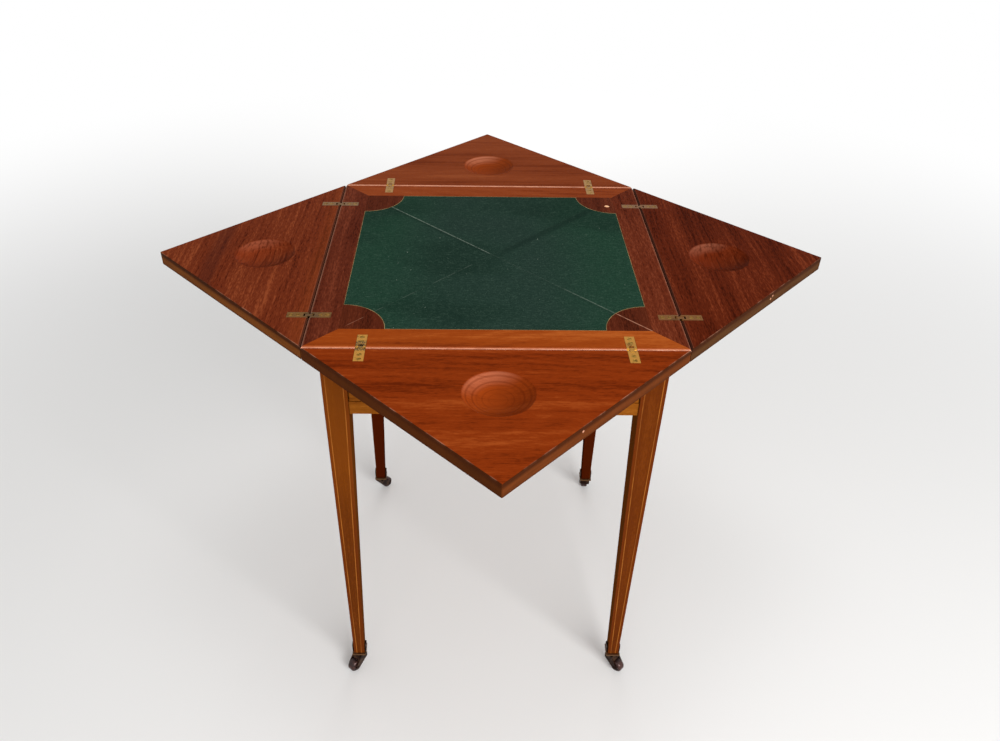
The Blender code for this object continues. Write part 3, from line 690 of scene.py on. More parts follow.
@dataclass(frozen=True)
class LegVeneer(Mahogany):
    """A leg: gold faces within the stringing, redder margins, darker inner faces, painted shade on the back
    legs' inner faces and painted light at the top of the front left leg.
    """

    # Light painted on the top of the front left leg.
    golden: Colour = srgb(128, 66, 10)
    margin: Colour = srgb(98, 40, 6)
    inner: Colour = srgb(92, 50, 16)
    # Shade painted on the back legs' inner faces, under the table.
    inner_back: Colour = srgb(56, 12, 2)

    ACROSS = (0.1, 0.3)
    GOLDEN_END = (0.5, 0.06)
    MARGIN_FADE = 0.2 * MM
    INSIDE = (0.6 * MM, 1.4 * MM)

    def marks(self, tree: Tree, colour: Signal) -> tuple[Signal, Signal]:
        """Tints the margins and the inner faces, each leg by its place: the back legs' inner faces are
        painted in shade, and light is painted on the top of the front left leg.

        Args:
            tree: The material's tree.
            colour: The plain veneer.
        Returns:
            The tinted veneer, and how polished it is.
        """
        x, y, z = tree.parts(tree.place())
        down = (PLAN.frame_bottom - z).most(0.0) / (PLAN.frame_bottom - PLAN.leg_bottom)
        outer = PLAN.half_frame - down * Leg.outer_taper
        inner = down * (Leg.top - Leg.foot - Leg.outer_taper) + PLAN.leg_inner
        near, far = abs(x).least(abs(y)), abs(x).most(abs(y))
        edge = (near - inner).least(outer - near)
        margin = edge.ramp(Leg.margin + self.MARGIN_FADE, Leg.margin - self.MARGIN_FADE)
        front_left, front_right = (x * -1.0 - y).ramp(*self.ACROSS), (x - y).ramp(*self.ACROSS)
        inside = (outer - far).ramp(*self.INSIDE)
        hidden = tree.mix(y.ramp(-self.ACROSS[0], self.ACROSS[0]), self.inner, self.inner_back)
        # The second mark is light painted on the top of the front left leg; the back legs' inner faces get a
        # painted shade.
        for mask, strength, tint in ((front_right, 0.3, self.margin),
                                     (down.ramp(*self.GOLDEN_END) * front_left, 0.42, self.golden),
                                     (margin, 0.4, self.margin),
                                     (inside, 0.85, hidden)):
            colour = tree.mix(mask * strength, colour, tint)
        return colour, (1.0 - inside) * 0.06


@dataclass(frozen=True)
class Boxwood(Finish):
    """Pale inlaid stringing, a little uneven in tone."""

    name: str = "boxwood_stringing"
    light: Colour = srgb(150, 88, 30)
    dark: Colour = srgb(112, 58, 16)

    TONE = Layer((90.0, 90.0, 14.0), 1.3, 3.0, 0.6)

    def fill(self, tree: Tree) -> None:
        """Writes the inlay.

        Args:
            tree: The material's tree.
        """
        tone = self.TONE.read(tree, tree.place())
        colour = tree.mix(tone.ramp(0.3, 0.62), self.dark, self.light)
        tree.surface(Base_Color=colour, Roughness=0.42, Specular_IOR_Level=0.04)


@dataclass(frozen=True)
class Baize(Finish):
    """Green wool cloth with felted fibres, two worn creases with painted shade beside them, and a few specks
    of lint.
    """

    name: str = "green_baize"
    green: Colour = srgb(32, 62, 47)
    grey: Colour = srgb(36, 54, 47)
    # The cloth's darker tone, also used for the painted shade beside the creases.
    deep: Colour = srgb(19, 37, 30)
    pale: Colour = srgb(96, 120, 104)
    thread: Colour = srgb(176, 188, 172)

    FELT = Layer((520.0, 520.0, 520.0), 0.0, 3.0, 0.7, strength=0.8)
    PILE = Layer((90.0, 300.0, 200.0), 3.3, 3.0, 0.7, 0.8)
    WORN = Layer((4.0, 6.0, 5.0), 8.1, 3.0, strength=1.2)
    THREAD = Layer((40.0, 40.0, 40.0), 2.2, 3.0, strength=0.9 * MM)
    FINE = Layer((300.0, 300.0, 300.0), 5.2)
    LINT = Layer((330.0, 240.0, 300.0), 6.4, 1.0)
    STRONG = (0.0, 0.4 * MM, 1.4 * MM)
    # The painted shade beside the strong crease.
    STRONG_SIDE = (-4.0 * MM, 1.0 * MM, 4.0 * MM)
    FAINT = (0.0, 0.35 * MM, 0.9 * MM)
    # The painted shade beside the faint crease, on one side of it.
    FAINT_SIDE = (6.0 * MM, 1.0 * MM, 12.0 * MM)

    def fill(self, tree: Tree) -> None:
        """Writes the cloth.

        Args:
            tree: The material's tree.
        """
        place = tree.place()
        x, y, _ = tree.parts(place)
        felt, pile, worn = (layer.read(tree, place) for layer in (self.FELT, self.PILE, self.WORN))
        middle = abs(x).ramp(0.2, 0.05) * 0.8 + (worn - 0.5) * self.WORN.strength
        colour = tree.mix(middle, self.green, self.grey)
        for mask, strength, tint in ((worn.ramp(0.5, 0.3), 0.5, self.deep),
                                     (felt.ramp(0.55, 0.3), 0.6, self.deep),
                                     (felt.ramp(0.55, 0.8), 0.5, self.pale),
                                     (pile.ramp(0.5, 0.8), 0.22, self.pale)):
            colour = tree.mix(mask * strength, colour, tint)
        colour = self.creases(tree, colour, (x + y) * DIAGONAL, (x - y) * DIAGONAL)
        lint = self.LINT.read(tree, place).ramp(0.80, 0.83)
        colour = tree.mix(lint * 0.6, colour, self.thread)
        tree.surface(Base_Color=colour, Roughness=0.95, Specular_IOR_Level=0.0, Sheen_Weight=0.01,
                     Sheen_Roughness=0.5,
                     Normal=tree.bump(felt * self.FELT.strength + pile, 0.15 * MM, 0.7))

    def creases(self, tree: Tree, colour: Signal, over: Signal, along: Signal) -> Signal:
        """Draws the two creases, each worn in some stretches and nearly gone in others, with a band of
        painted shade beside each.

        Args:
            tree: The material's tree.
            colour: The cloth so far.
            over, along: The place along the two diagonals; the strong crease lies at over = 0.
        Returns:
            The creased cloth.
        """
        thread, fine = (layer.read(tree, tree.place()) for layer in (self.THREAD, self.FINE))
        sway = (thread - 0.5) * self.THREAD.strength
        reach = along.ramp(0.004, -0.02, 0.12, 1.0) + along.ramp(0.13, 0.18, 0.0, 0.55)
        bare = reach * fine.ramp(0.3, 0.62, 0.06, 0.3)
        faint = over.ramp(-0.03, -0.06, 0.22, 1.0) * thread.ramp(0.4, 0.6)
        # The second and the fourth marks are painted shade beside the creases.
        for mask, strength, tint in (((over + sway).line(*self.STRONG), bare, self.thread),
                                     (over.line(*self.STRONG_SIDE) * reach, 0.35, self.deep),
                                     ((along + sway).line(*self.FAINT) * faint, 0.08, self.thread),
                                     (along.line(*self.FAINT_SIDE) * over.ramp(-0.02, 0.04), 0.5,
                                      self.deep)):
            colour = tree.mix(mask * strength, colour, tint)
        return colour


@dataclass(frozen=True)
class Metal(Finish):
    """A worn metal with patina in patches and fine scratches."""

    name: str
    bright: Colour
    dull: Colour
    roughness: float = 0.3
    patina: float = 0.5
    scale: float = 110.0
    metallic: float = 1.0
    relief: float = 0.02 * MM

    SCRATCHES = Layer((3000.0, 240.0, 900.0), 7.7, 1.0)

    def fill(self, tree: Tree) -> None:
        """Writes the metal.

        Args:
            tree: The material's tree.
        """
        place = tree.place()
        patches = Layer((self.scale,) * 3, 1.1, 4.0, 0.6).read(tree, place)
        fine = Layer((self.scale * 9,) * 3, 4.2).read(tree, place)
        start = 0.62 - 0.3 * self.patina
        age = (patches * 0.75 + fine * 0.25).ramp(start, start + 0.12)
        colour = self.worn(tree, tree.mix(age, self.bright, self.dull))
        scratch = self.SCRATCHES.read(tree, place)
        rough = age * 0.22 + (scratch - 0.5) * 0.10 + self.roughness
        tree.surface(Base_Color=colour, Metallic=self.metallic, Roughness=rough,
                     Normal=tree.bump(fine + scratch * 0.5, self.relief, 0.6))

    def worn(self, tree: Tree, colour: Signal) -> Signal:
        """The metal without further marks."""
        return colour


@dataclass(frozen=True)
class HingeBrass(Metal):
    """Brass with grime round the links, most of it on the front left hinge."""

    grime: Colour = srgb(72, 62, 42)
    brown: Colour = srgb(98, 58, 18)
    strength: float = 0.25
    corner: float = 1.1

    CURL = Layer((260.0, 420.0, 300.0), 2.4, 2.0, 0.5, 2.5)
    LINKS = (-5 * MM, 8 * MM, 7 * MM)

    def worn(self, tree: Tree, colour: Signal) -> Signal:
        """Adds the grime, and browns the hinges of the two sides.

        Args:
            tree: The material's tree.
            colour: The clean brass.
        Returns:
            The worn brass.
        """
        place = tree.place()
        x, y, _ = tree.parts(place)
        near = (abs(x).most(abs(y)) - PLAN.half_bed).line(*self.LINKS)
        curl = self.CURL.read(tree, place).ramp(0.42, 0.56)
        corner = (x + y).ramp(-0.30, -0.42) * self.corner
        colour = tree.mix(near * curl * (corner + self.strength), colour, self.grime)
        return tree.mix((abs(x) - abs(y)).ramp(-MM, MM) * 0.4, colour, self.brown)


@dataclass(frozen=True)
class SocketBronze(Metal):
    """Dark lugs over a lighter plate."""

    plate: Colour = srgb(134, 100, 68)
    plate_top: float = 43.6 * MM

    def worn(self, tree: Tree, colour: Signal) -> Signal:
        """Brightens the plate."""
        over = tree.parts(tree.place())[2] - self.plate_top
        return tree.mix(over.ramp(1.4 * MM, 0.4 * MM) * 0.65, colour, self.plate)


@dataclass(frozen=True)
class Lining(Finish):
    """Plain unpolished timber for the drawer's inside and the hidden boards."""

    name: str
    mid: Colour
    dark: Colour
    grain: Grain = Grain.ALONG_X

    STREAKS = Layer((4.0, 120.0, 120.0), 2.0, 4.0, 0.6)
    RINGS = Layer((1.0, 30.0, 30.0), 6.0, 3.0, 0.5, 0.6)

    def fill(self, tree: Tree) -> None:
        """Writes the plain wood.

        Args:
            tree: The material's tree.
        """
        place = tree.place(self.grain)
        streaks, rings = self.STREAKS.read(tree, place), self.RINGS.read(tree, place)
        colour = tree.mix((streaks * 0.5 + rings * 0.5).ramp(0.36, 0.62), self.dark, self.mid)
        tree.surface(Base_Color=colour, Roughness=0.7, Specular_IOR_Level=0.2,
                     Normal=tree.bump(streaks, 0.05 * MM, 0.5))


# Shapes

def loft(loops: Sequence[Sequence[Spot]]) -> Shape:
    """Joins loops of as many points each, and closes the first and the last.

    Args:
        loops: The loops, in order.
    Returns:
        The shape.
    """
    shape = bmesh.new()
    rings = [[shape.verts.new(point) for point in loop] for loop in loops]
    shape.faces.new(rings[0])
    shape.faces.new(rings[-1])
    bridge(shape, rings)
    return shape


def bridge(shape: Shape, rings: Sequence[Sequence[Vertex]]) -> None:
    """Joins rings of vertices by faces.

    Args:
        shape: The shape that they belong to.
        rings: The rings, in order; a ring of one vertex is a tip.
    """
    for lower, upper in zip(rings, rings[1:]):
        count = max(len(lower), len(upper))
        for i in range(count):
            j = (i + 1) % count
            corners = [lower[i % len(lower)], lower[j % len(lower)], upper[j % len(upper)],
                       upper[i % len(upper)]]
            shape.faces.new(list(dict.fromkeys(corners)))


def slab(outline: Sequence[Flat], low: float, high: float) -> Shape:
    """An outline in X and Y, from one height to another."""
    return loft([[(x, y, z) for x, y in outline] for z in (low, high)])


def bar(outline: Sequence[Flat], width: float) -> Shape:
    """An outline in Y and Z, centred on X and as long as the width."""
    return loft([[(x, y, z) for y, z in outline] for x in (-width / 2, width / 2)])


def box(low: Spot, high: Spot) -> Shape:
    """A box from its lowest to its highest corner."""
    return slab([(low[0], low[1]), (high[0], low[1]), (high[0], high[1]), (low[0], high[1])],
                low[2], high[2])


def turned(profile: Sequence[Flat], steps: int = 48) -> Shape:
    """Spins a profile of (radius, height) about Z.

    Args:
        profile: Its ends lie on the axis, or the two ends form a bore.
        steps: How many sides the round has.
    Returns:
        The shape.
    """
    shape = bmesh.new()
    rings = [ring(shape, (0.0, 0.0), radius, height, steps) for radius, height in profile]
    if profile[0][0] and profile[-1][0]:
        rings.append(rings[0])
    bridge(shape, rings)
    return shape


def ring(shape: Shape, centre: Flat, radius: float, height: float, steps: int) -> list[Vertex]:
    """Adds the vertices of a level circle, or the one vertex of a tip.

    Args:
        shape: The shape that gets them.
        centre: The circle's middle.
        radius: Its radius; nought makes a tip.
        height: Its height.
        steps: How many vertices it has.
    Returns:
        The vertices.
    """
    if not radius:
        return [shape.verts.new((*centre, height))]
    turns = [2 * math.pi * i / steps for i in range(steps)]
    return [shape.verts.new((centre[0] + radius * math.cos(a), centre[1] + radius * math.sin(a), height))
            for a in turns]


def arc(centre: Flat, radius: float, start: float, end: float, steps: int) -> list[Flat]:
    """Points of an arc, in degrees, with both ends."""
    turns = [math.radians(start + (end - start) * i / steps) for i in range(steps + 1)]
    return [(centre[0] + radius * math.cos(a), centre[1] + radius * math.sin(a)) for a in turns]


def moved(shape: Shape, x: float = 0.0, y: float = 0.0, z: float = 0.0) -> Shape:
    """Moves a shape."""
    shape.transform(Matrix.Translation((x, y, z)))
    return shape


def changed(shape: Shape, matrix: Matrix) -> Shape:
    """Turns or mirrors a shape."""
    shape.transform(matrix)
    return shape


def outward(shape: Shape) -> Shape:
    """Points a closed shape's faces outwards.

    Args:
        shape: The shape.
    Returns:
        The same shape.
    """
    bmesh.ops.recalc_face_normals(shape, faces=shape.faces)
    if shape.calc_volume(signed=True) < 0:
        bmesh.ops.reverse_faces(shape, faces=shape.faces)
    return shape


def to_mesh(name: str, shape: Shape) -> bpy.types.Mesh:
    """Turns a shape into a mesh and frees it.

    Args:
        name: The mesh's name.
        shape: The shape.
    Returns:
        The mesh.
    """
    mesh = bpy.data.meshes.new(name)
    outward(shape).to_mesh(mesh)
    shape.free()
    return mesh


def copied(mesh: bpy.types.Mesh) -> Shape:
    """Copies a mesh into a shape.

    Args:
        mesh: The mesh, which stays as it is.
    Returns:
        The shape.
    """
    shape = bmesh.new()
    shape.from_mesh(mesh)
    return shape


def together(shapes: Iterable[Shape]) -> Shape:
    """Joins shapes that don't meet into one.

    Args:
        shapes: The shapes, which are freed.
    Returns:
        The whole.
    """
    whole = bmesh.new()
    for shape in shapes:
        part = to_mesh("part", shape)
        whole.from_mesh(part)
        bpy.data.meshes.remove(part)
    return whole


def linked(name: str, data: bpy.types.ID) -> bpy.types.Object:
    """Makes an object and links it into the scene.

    Args:
        name: The object's name.
        data: Its mesh, light or camera.
    Returns:
        The object.
    """
    thing = bpy.data.objects.new(name, data)
    bpy.context.collection.objects.link(thing)
    return thing


def carve(base: Shape, tool: Shape, operation: str = "DIFFERENCE") -> Shape:
    """Cuts a tool out of a shape, or adds it, or keeps what they share.

    Args:
        base: The shape to work on.
        tool: The other shape.
        operation: The boolean's operation.
    Returns:
        The result.
    """
    helpers = [linked(name, to_mesh(name, shape)) for name, shape in (("work", base), ("knife", tool))]
    step = helpers[0].modifiers.new("carve", "BOOLEAN")
    step.solver = "EXACT"
    step.operation = operation
    step.object = helpers[1]
    result = bmesh.new()
    result.from_object(helpers[0], bpy.context.evaluated_depsgraph_get())
    for helper in helpers:
        mesh = helper.data
        bpy.data.objects.remove(helper)
        bpy.data.meshes.remove(mesh)
    return result


def soften(shape: Shape, radius: float, chosen: Callable[[Edge], bool], segments: int = 2) -> Shape:
    """Rounds some of a shape's edges.

    Args:
        shape: The shape.
        radius: How far the rounding reaches.
        chosen: Says which edges are rounded.
        segments: How many faces the rounding has.
    Returns:
        The same shape.
    """
    edges = [edge for edge in shape.edges if chosen(edge)]
    bmesh.ops.bevel(shape, geom=edges, offset=radius, segments=segments, profile=0.5,
                    affect="EDGES", clamp_overlap=True)
    return shape


def sharp(edge: Edge) -> bool:
    """Whether an edge is sharp."""
    return len(edge.link_faces) == 2 and edge.calc_face_angle(0.0) > SHARP_TURN


def on_face(edge: Edge, face: float) -> bool:
    """Whether an edge lies in a face across Y."""
    return all(abs(vertex.co.y - face) < TOUCH for vertex in edge.verts)


@dataclass
class Piece:
    """A finished piece: its mesh, what it rides on and what it stands for."""

    name: str
    body: str
    finish: Finish
    slot: str
    replaces: Sequence[str] = ()
    smooth: float = 32.0

    def place(self, shape: Shape) -> bpy.types.Object:
        """Puts a closed shape into the scene, where it stands at rest."""
        return self.place_mesh(to_mesh(self.name, shape))

    def place_mesh(self, mesh: bpy.types.Mesh) -> bpy.types.Object:
        """Puts a mesh into the scene, with clean normals, and ties it to its body.

        Args:
            mesh: The mesh where it stands at rest.
        Returns:
            The object.
        """
        mesh.shade_smooth()
        mesh.set_sharp_from_angle(angle=math.radians(self.smooth))
        thing = linked(self.name, mesh)
        weigh = thing.modifiers.new("weigh", "WEIGHTED_NORMAL")
        weigh.keep_sharp = True
        graph = bpy.context.evaluated_depsgraph_get()
        thing.data = bpy.data.meshes.new_from_object(thing.evaluated_get(graph), depsgraph=graph)
        thing.modifiers.clear()
        bpy.data.meshes.remove(mesh)
        thing.data.name = self.name
        thing.data.materials.clear()
        thing.data.materials.append(self.finish.material())
        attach(thing, self.body)
        if self.replaces:
            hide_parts(*self.replaces)
        LOG.info("%s: %d faces on %s", self.name, len(thing.data.polygons), self.body)
        return thing


class Growth:
    """A Geometry Nodes tree with named inputs, run over a carrier mesh."""

    def __init__(self, name: str) -> None:
        """Makes the empty tree with its geometry sockets.

        Args:
            name: The tree's name.
        """
        self.group = bpy.data.node_groups.new(name, "GeometryNodeTree")
        self.keys: dict[str, str] = {}
        for way in ("INPUT", "OUTPUT"):
            self.group.interface.new_socket("Geometry", in_out=way, socket_type="NodeSocketGeometry")
        self.tree = Tree(self.group)
        self.entry = self.tree.add("NodeGroupInput").socket.node

    def input(self, name: str, kind: str = "Float") -> Signal:
        """Adds a named input.

        Args:
            name: Its name.
            kind: What it takes, such as Float, Int or Material.
        Returns:
            Its signal in the tree.
        """
        socket = self.group.interface.new_socket(name, in_out="INPUT", socket_type=f"NodeSocket{kind}")
        self.keys[name] = socket.identifier
        return Signal(self.tree, self.entry.outputs[name])

    def carrier(self) -> Signal:
        """The geometry that the tree starts from."""
        return Signal(self.tree, self.entry.outputs["Geometry"])

    def close(self, geometry: Signal, material: Signal) -> None:
        """Ends the tree.

        Args:
            geometry: What it made; its instances are made real.
            material: The material that it gets.
        """
        real = self.tree.add("GeometryNodeRealizeInstances", inputs={"Geometry": geometry})
        dressed = self.tree.add("GeometryNodeSetMaterial", inputs={"Geometry": real, "Material": material})
        self.tree.add("NodeGroupOutput", inputs={"Geometry": dressed})

    def grow(self, name: str, carrier: bpy.types.Mesh, values: dict[str, Any]) -> bpy.types.Mesh:
        """Runs the tree.

        Args:
            name: The new mesh's name.
            carrier: The mesh that it starts from.
            values: The named inputs' values.
        Returns:
            A plain mesh.
        """
        thing = linked(name, carrier)
        step = thing.modifiers.new("grow", "NODES")
        step.node_group = self.group
        for key, value in values.items():
            step[self.keys[key]] = value
        graph = bpy.context.evaluated_depsgraph_get()
        mesh = bpy.data.meshes.new_from_object(thing.evaluated_get(graph), depsgraph=graph)
        thing.modifiers.clear()
        bpy.data.objects.remove(thing)
        bpy.data.meshes.remove(carrier)
        return mesh


def carrier_mesh(name: str, points: Sequence[Spot], facings: Sequence[Spot],
                 edges: Sequence[tuple[int, int]] = ()) -> bpy.types.Mesh:
    """A mesh of points or lines, each with the way it faces.

    Args:
        name: The mesh's name.
        points: Its vertices.
        facings: For each vertex, the direction that its piece faces.
        edges: The lines between them.
    Returns:
        The mesh, with the attribute "facing".
    """
    mesh = bpy.data.meshes.new(name)
    mesh.from_pydata(points, edges, [])
    facing = mesh.attributes.new("facing", "FLOAT_VECTOR", "POINT")
    facing.data.foreach_set("vector", [part for way in facings for part in way])
    return mesh


def facing_of(tree: Tree) -> Signal:
    """The carrier's facing attribute."""
    return tree.add("GeometryNodeInputNamedAttribute", {"data_type": "FLOAT_VECTOR"}, {"Name": "facing"})


@cache
def sweep_growth() -> Growth:
    """Draws the tree that lays a strip of a width and a thickness along lines.

    Returns:
        The tree, made once.
    """
    growth = Growth("strips")
    width, thickness = growth.input("Width"), growth.input("Thickness")
    material = growth.input("Finish", "Material")
    tree = growth.tree
    curve = tree.add("GeometryNodeMeshToCurve", inputs={"Mesh": growth.carrier()})
    curve = tree.add("GeometryNodeSetCurveNormal", {"mode": "FREE"},
                     {"Curve": curve, "Normal": facing_of(tree)})
    profile = tree.add("GeometryNodeCurvePrimitiveQuadrilateral", {"mode": "RECTANGLE"},
                       {"Width": thickness, "Height": width})
    strip = tree.add("GeometryNodeCurveToMesh",
                     inputs={"Curve": curve, "Profile Curve": profile, "Fill Caps": True})
    growth.close(strip, material)
    return growth


@dataclass
class Strips:
    """Flat strips of one section and one finish."""

    width: float
    thickness: float
    finish: Finish

    def lay(self, name: str, body: str, slot: str, carrier: bpy.types.Mesh) -> None:
        """Lays the strips of one body along the lines of a carrier."""
        mesh = sweep_growth().grow(name, carrier, {
            "Width": self.width, "Thickness": self.thickness, "Finish": self.finish.material()})
        Piece(name, body, self.finish, slot).place_mesh(mesh)


@dataclass
class Screws:
    """Slotted countersunk screws of one size and one finish."""

    radius: float
    depth: float
    gap: float
    finish: Finish
    turn: float = 0.45

    SIDES = 20
    TAPER = 0.45
    SLOT_LENGTH = 2.3
    SLOT_DEPTH = 1.8

    @classmethod
    @cache
    def growth(cls) -> Growth:
        """Draws the tree that sets heads on points, each turned its own way.

        Returns:
            The tree, made once.
        """
        growth = Growth("screws")
        radius, depth = growth.input("Radius"), growth.input("Depth")
        slot, turn = growth.input("Slot"), growth.input("Turn")
        seed = growth.input("Seed", "Int")
        material = growth.input("Finish", "Material")
        tree = growth.tree
        cone = tree.add("GeometryNodeMeshCone", {"fill_type": "NGON"},
                        {"Vertices": cls.SIDES, "Radius Top": radius, "Radius Bottom": radius * cls.TAPER,
                         "Depth": depth})
        drop = tree.add("ShaderNodeCombineXYZ", inputs={"Z": depth * -1.0})
        cone = tree.add("GeometryNodeTransform", inputs={"Geometry": cone, "Translation": drop})
        size = tree.add("ShaderNodeCombineXYZ",
                        inputs={"X": radius * cls.SLOT_LENGTH, "Y": slot, "Z": slot * cls.SLOT_DEPTH})
        cutter = tree.add("GeometryNodeMeshCube", inputs={"Size": size})
        head = tree.add("GeometryNodeMeshBoolean", {"operation": "DIFFERENCE", "solver": "EXACT"},
                        {"Mesh 1": cone, "Mesh 2": [cutter]})
        stand = tree.add("FunctionNodeAlignRotationToVector", {"axis": "Z"}, {"Vector": facing_of(tree)})
        angle = tree.add("FunctionNodeRandomValue", {"data_type": "FLOAT"},
                         {"Min_001": turn * -1.0, "Max_001": turn, "Seed": seed}, 1)
        spin = tree.add("FunctionNodeAxisAngleToRotation", inputs={"Axis": UP, "Angle": angle})
        stand = tree.add("FunctionNodeRotateRotation", {"rotation_space": "LOCAL"},
                         {"Rotation": stand, "Rotate By": spin})
        heads = tree.add("GeometryNodeInstanceOnPoints",
                         inputs={"Points": growth.carrier(), "Instance": head, "Rotation": stand})
        growth.close(heads, material)
        return growth

    def drive(self, name: str, body: str, slot: str, spots: Sequence[Spot], facings: Sequence[Spot],
              seed: int) -> None:
        """Sets the screws of one body; the seed picks how each head is turned."""
        mesh = self.growth().grow(name, carrier_mesh(name, spots, facings), {
            "Radius": self.radius, "Depth": self.depth, "Slot": self.gap, "Turn": self.turn,
            "Seed": seed, "Finish": self.finish.material()})
        Piece(name, body, self.finish, slot).place_mesh(mesh)


# The woods and the metals of this table

def top_wood(part: str, side: Side, shades: Sequence[Colour], shift: float, heart: Flat,
             lean: float, **marks: Any) -> TopMahogany:
    """A flap's or a band's finish, with its grain along the joint."""
    grain = Grain.ALONG_Y if side in (Side.RIGHT, Side.LEFT) else Grain.ALONG_X
    return TopMahogany(f"{part}_{side.label}_mahogany", *shades, grain, shift, heart, lean, **marks)


class Palette:
    """The table's finishes."""

    # Each flap's bowl carries painted light and shade, and the front flap's two edge colours paint the light
    # on one slanted edge.
    flaps = {
        Side.FRONT: top_wood(
            "flap", Side.FRONT, srgbs((98, 32, 6), (134, 50, 12), (160, 72, 26)), 5.0,
            (-0.42, 0.09), 0.16, figure=0.3, fleck=0.8, edges=srgbs((94, 48, 20), (70, 36, 13)),
            bowl=Bowl(Side.FRONT, srgb(140, 57, 15), 0.5, 0.45, 0.3, 0.17, 0.2, 0.25, 0.8),
            chips=((0.1022, -0.4365, 0.7475),)),
        Side.RIGHT: top_wood(
            "flap", Side.RIGHT, srgbs((56, 15, 4), (90, 32, 13), (124, 54, 28)), 11.0,
            (0.38, 0.10), 0.05, fleck=1.3, shadow=0.8, edges=srgbs((78, 50, 26), (78, 50, 26)),
            bowl=Bowl(Side.RIGHT, srgb(110, 39, 12), 0.3, 0.3, 0.5, 0.12, 0.35, 0.6),
            chips=((0.4285, -0.1102, 0.7475), (0.4245, -0.1142, 0.7445))),
        Side.BACK: top_wood(
            "flap", Side.BACK, srgbs((108, 44, 18), (131, 60, 29), (152, 78, 42)), 23.0,
            (0.40, 0.2), 0.05, figure=0.2, fleck=0.5, wear=(1.7 * MM, 0.62),
            bowl=Bowl(Side.BACK, srgb(136, 54, 14), 0.55, 0.3, 0.0, 0.24, 0.3, 0.3, 1.0)),
        Side.LEFT: top_wood(
            "flap", Side.LEFT, srgbs((70, 22, 8), (110, 45, 22), (144, 70, 38)), 37.0,
            (-0.36, 0.10), 0.14, fleck=1.3, shadow=0.8, edges=srgbs((110, 62, 24), (110, 62, 24)),
            bowl=Bowl(Side.LEFT, srgb(118, 46, 20), 0.35, 0.36, 0.6, 0.08, 0.4, 0.65),
            streaks=(Streak(0.447, 5 * MM, 14 * MM, srgb(74, 32, 22), 0.45),
                     Streak(0.275, 2 * MM, 26 * MM, srgb(146, 68, 30), 0.28))),
    }
    bands = {
        Side.FRONT: top_wood(
            "band", Side.FRONT, srgbs((120, 46, 12), (151, 65, 18), (176, 88, 34)), 41.0,
            (-0.2, 0.12), 0.1, fleck=0.6, wear=(1.3 * MM, 0.62)),
        Side.RIGHT: top_wood(
            "band", Side.RIGHT, srgbs((64, 20, 8), (99, 40, 21), (126, 60, 36)), 43.0,
            (0.2, 0.2), 0.05, figure=0.2, fleck=1.5, wear=(1.3 * MM, 0.26), halo=0.1),
        Side.BACK: top_wood(
            "band", Side.BACK, srgbs((116, 46, 18), (141, 64, 29), (162, 82, 42)), 47.0,
            (0.2, 0.15), 0.08, fleck=0.6),
        Side.LEFT: top_wood(
            "band", Side.LEFT, srgbs((60, 18, 8), (92, 38, 22), (118, 55, 34)), 53.0,
            (-0.2, 0.2), 0.05, figure=0.2, fleck=1.5, wear=(2.0 * MM, 0.14), halo=0.22),
    }
    spandrels = TopMahogany(
        "spandrel_mahogany", *srgbs((56, 19, 8), (85, 35, 19), (108, 50, 29)), Grain.ALONG_Y, 59.0,
        (0.2, 0.2), 0.05, figure=0.2, fleck=1.4, scratches=True)
    core = Lining("bed_core_mahogany", *srgbs((104, 54, 30), (78, 36, 18)))
    # The legs carry painted shade on the back legs' inner faces and painted light at the top of the front
    # left leg.
    legs = LegVeneer("leg_veneer", *srgbs((66, 28, 3), (86, 38, 4), (104, 50, 9)), Grain.ALONG_Z,
                     61.0, (0.3, 0.2), 0.03, figure=0.2, shine=0.0)
    rails = Mahogany("rail_mahogany", *srgbs((98, 50, 12), (126, 70, 18), (148, 88, 28)),
                     Grain.ALONG_X, 67.0, (0.1, 0.3), 0.05, figure=0.25)
    side_rails = Mahogany("side_rail_mahogany", *srgbs((100, 48, 14), (126, 66, 22), (148, 84, 32)),
                          Grain.ALONG_Y, 71.0, (0.1, 0.3), 0.05, figure=0.25)
    stringing = Boxwood()
    cloth = Baize()
    cloth_line = Metal("gilt_edge_line", *srgbs((150, 124, 70), (112, 92, 52)), 0.5, 0.5, 60.0, 0.3)
    hinges = {side: HingeBrass(f"hinge_brass_{side.label}", *srgbs(*shades), 0.3, 0.3, 60.0)
              for side, *shades in ((Side.FRONT, (184, 130, 52), (128, 88, 32)),
                                    (Side.RIGHT, (132, 84, 28), (96, 60, 20)),
                                    (Side.BACK, (158, 112, 46), (118, 80, 34)),
                                    (Side.LEFT, (120, 86, 30), (96, 66, 24)))}
    screw = HingeBrass("screw_brass", *srgbs((168, 128, 50), (120, 88, 32)), 0.35, 0.5, 200.0)
    pin = Metal("lift_pin_copper", *srgbs((250, 196, 148), (214, 146, 94)), 0.3, 0.2)
    bronze = Metal("castor_bronze", *srgbs((82, 58, 42), (40, 25, 20)), 0.3, 0.7, 70.0)
    socket = SocketBronze("castor_socket_bronze", *srgbs((60, 38, 28), (32, 19, 15)), 0.36, 0.7, 70.0)
    wheel = Metal("castor_wheel_brown", *srgbs((70, 42, 36), (40, 22, 20)), 0.16, 0.6, 90.0, 0.35)
    steel = Metal("dark_steel", *srgbs((150, 146, 142), (92, 84, 78)), 0.4, 0.5)
    knob = Metal("knob_brass", *srgbs((206, 154, 78), (140, 98, 46)), 0.26, 0.3)
    lining = Lining("lining_oak", *srgbs((176, 132, 84), (138, 98, 58)))
    lining_long = Lining("lining_oak_long", lining.mid, lining.dark, Grain.ALONG_Y)
    bearer = Lining("bearer_pine", *srgbs((186, 146, 98), (150, 112, 70)))


# Sub-assemblies

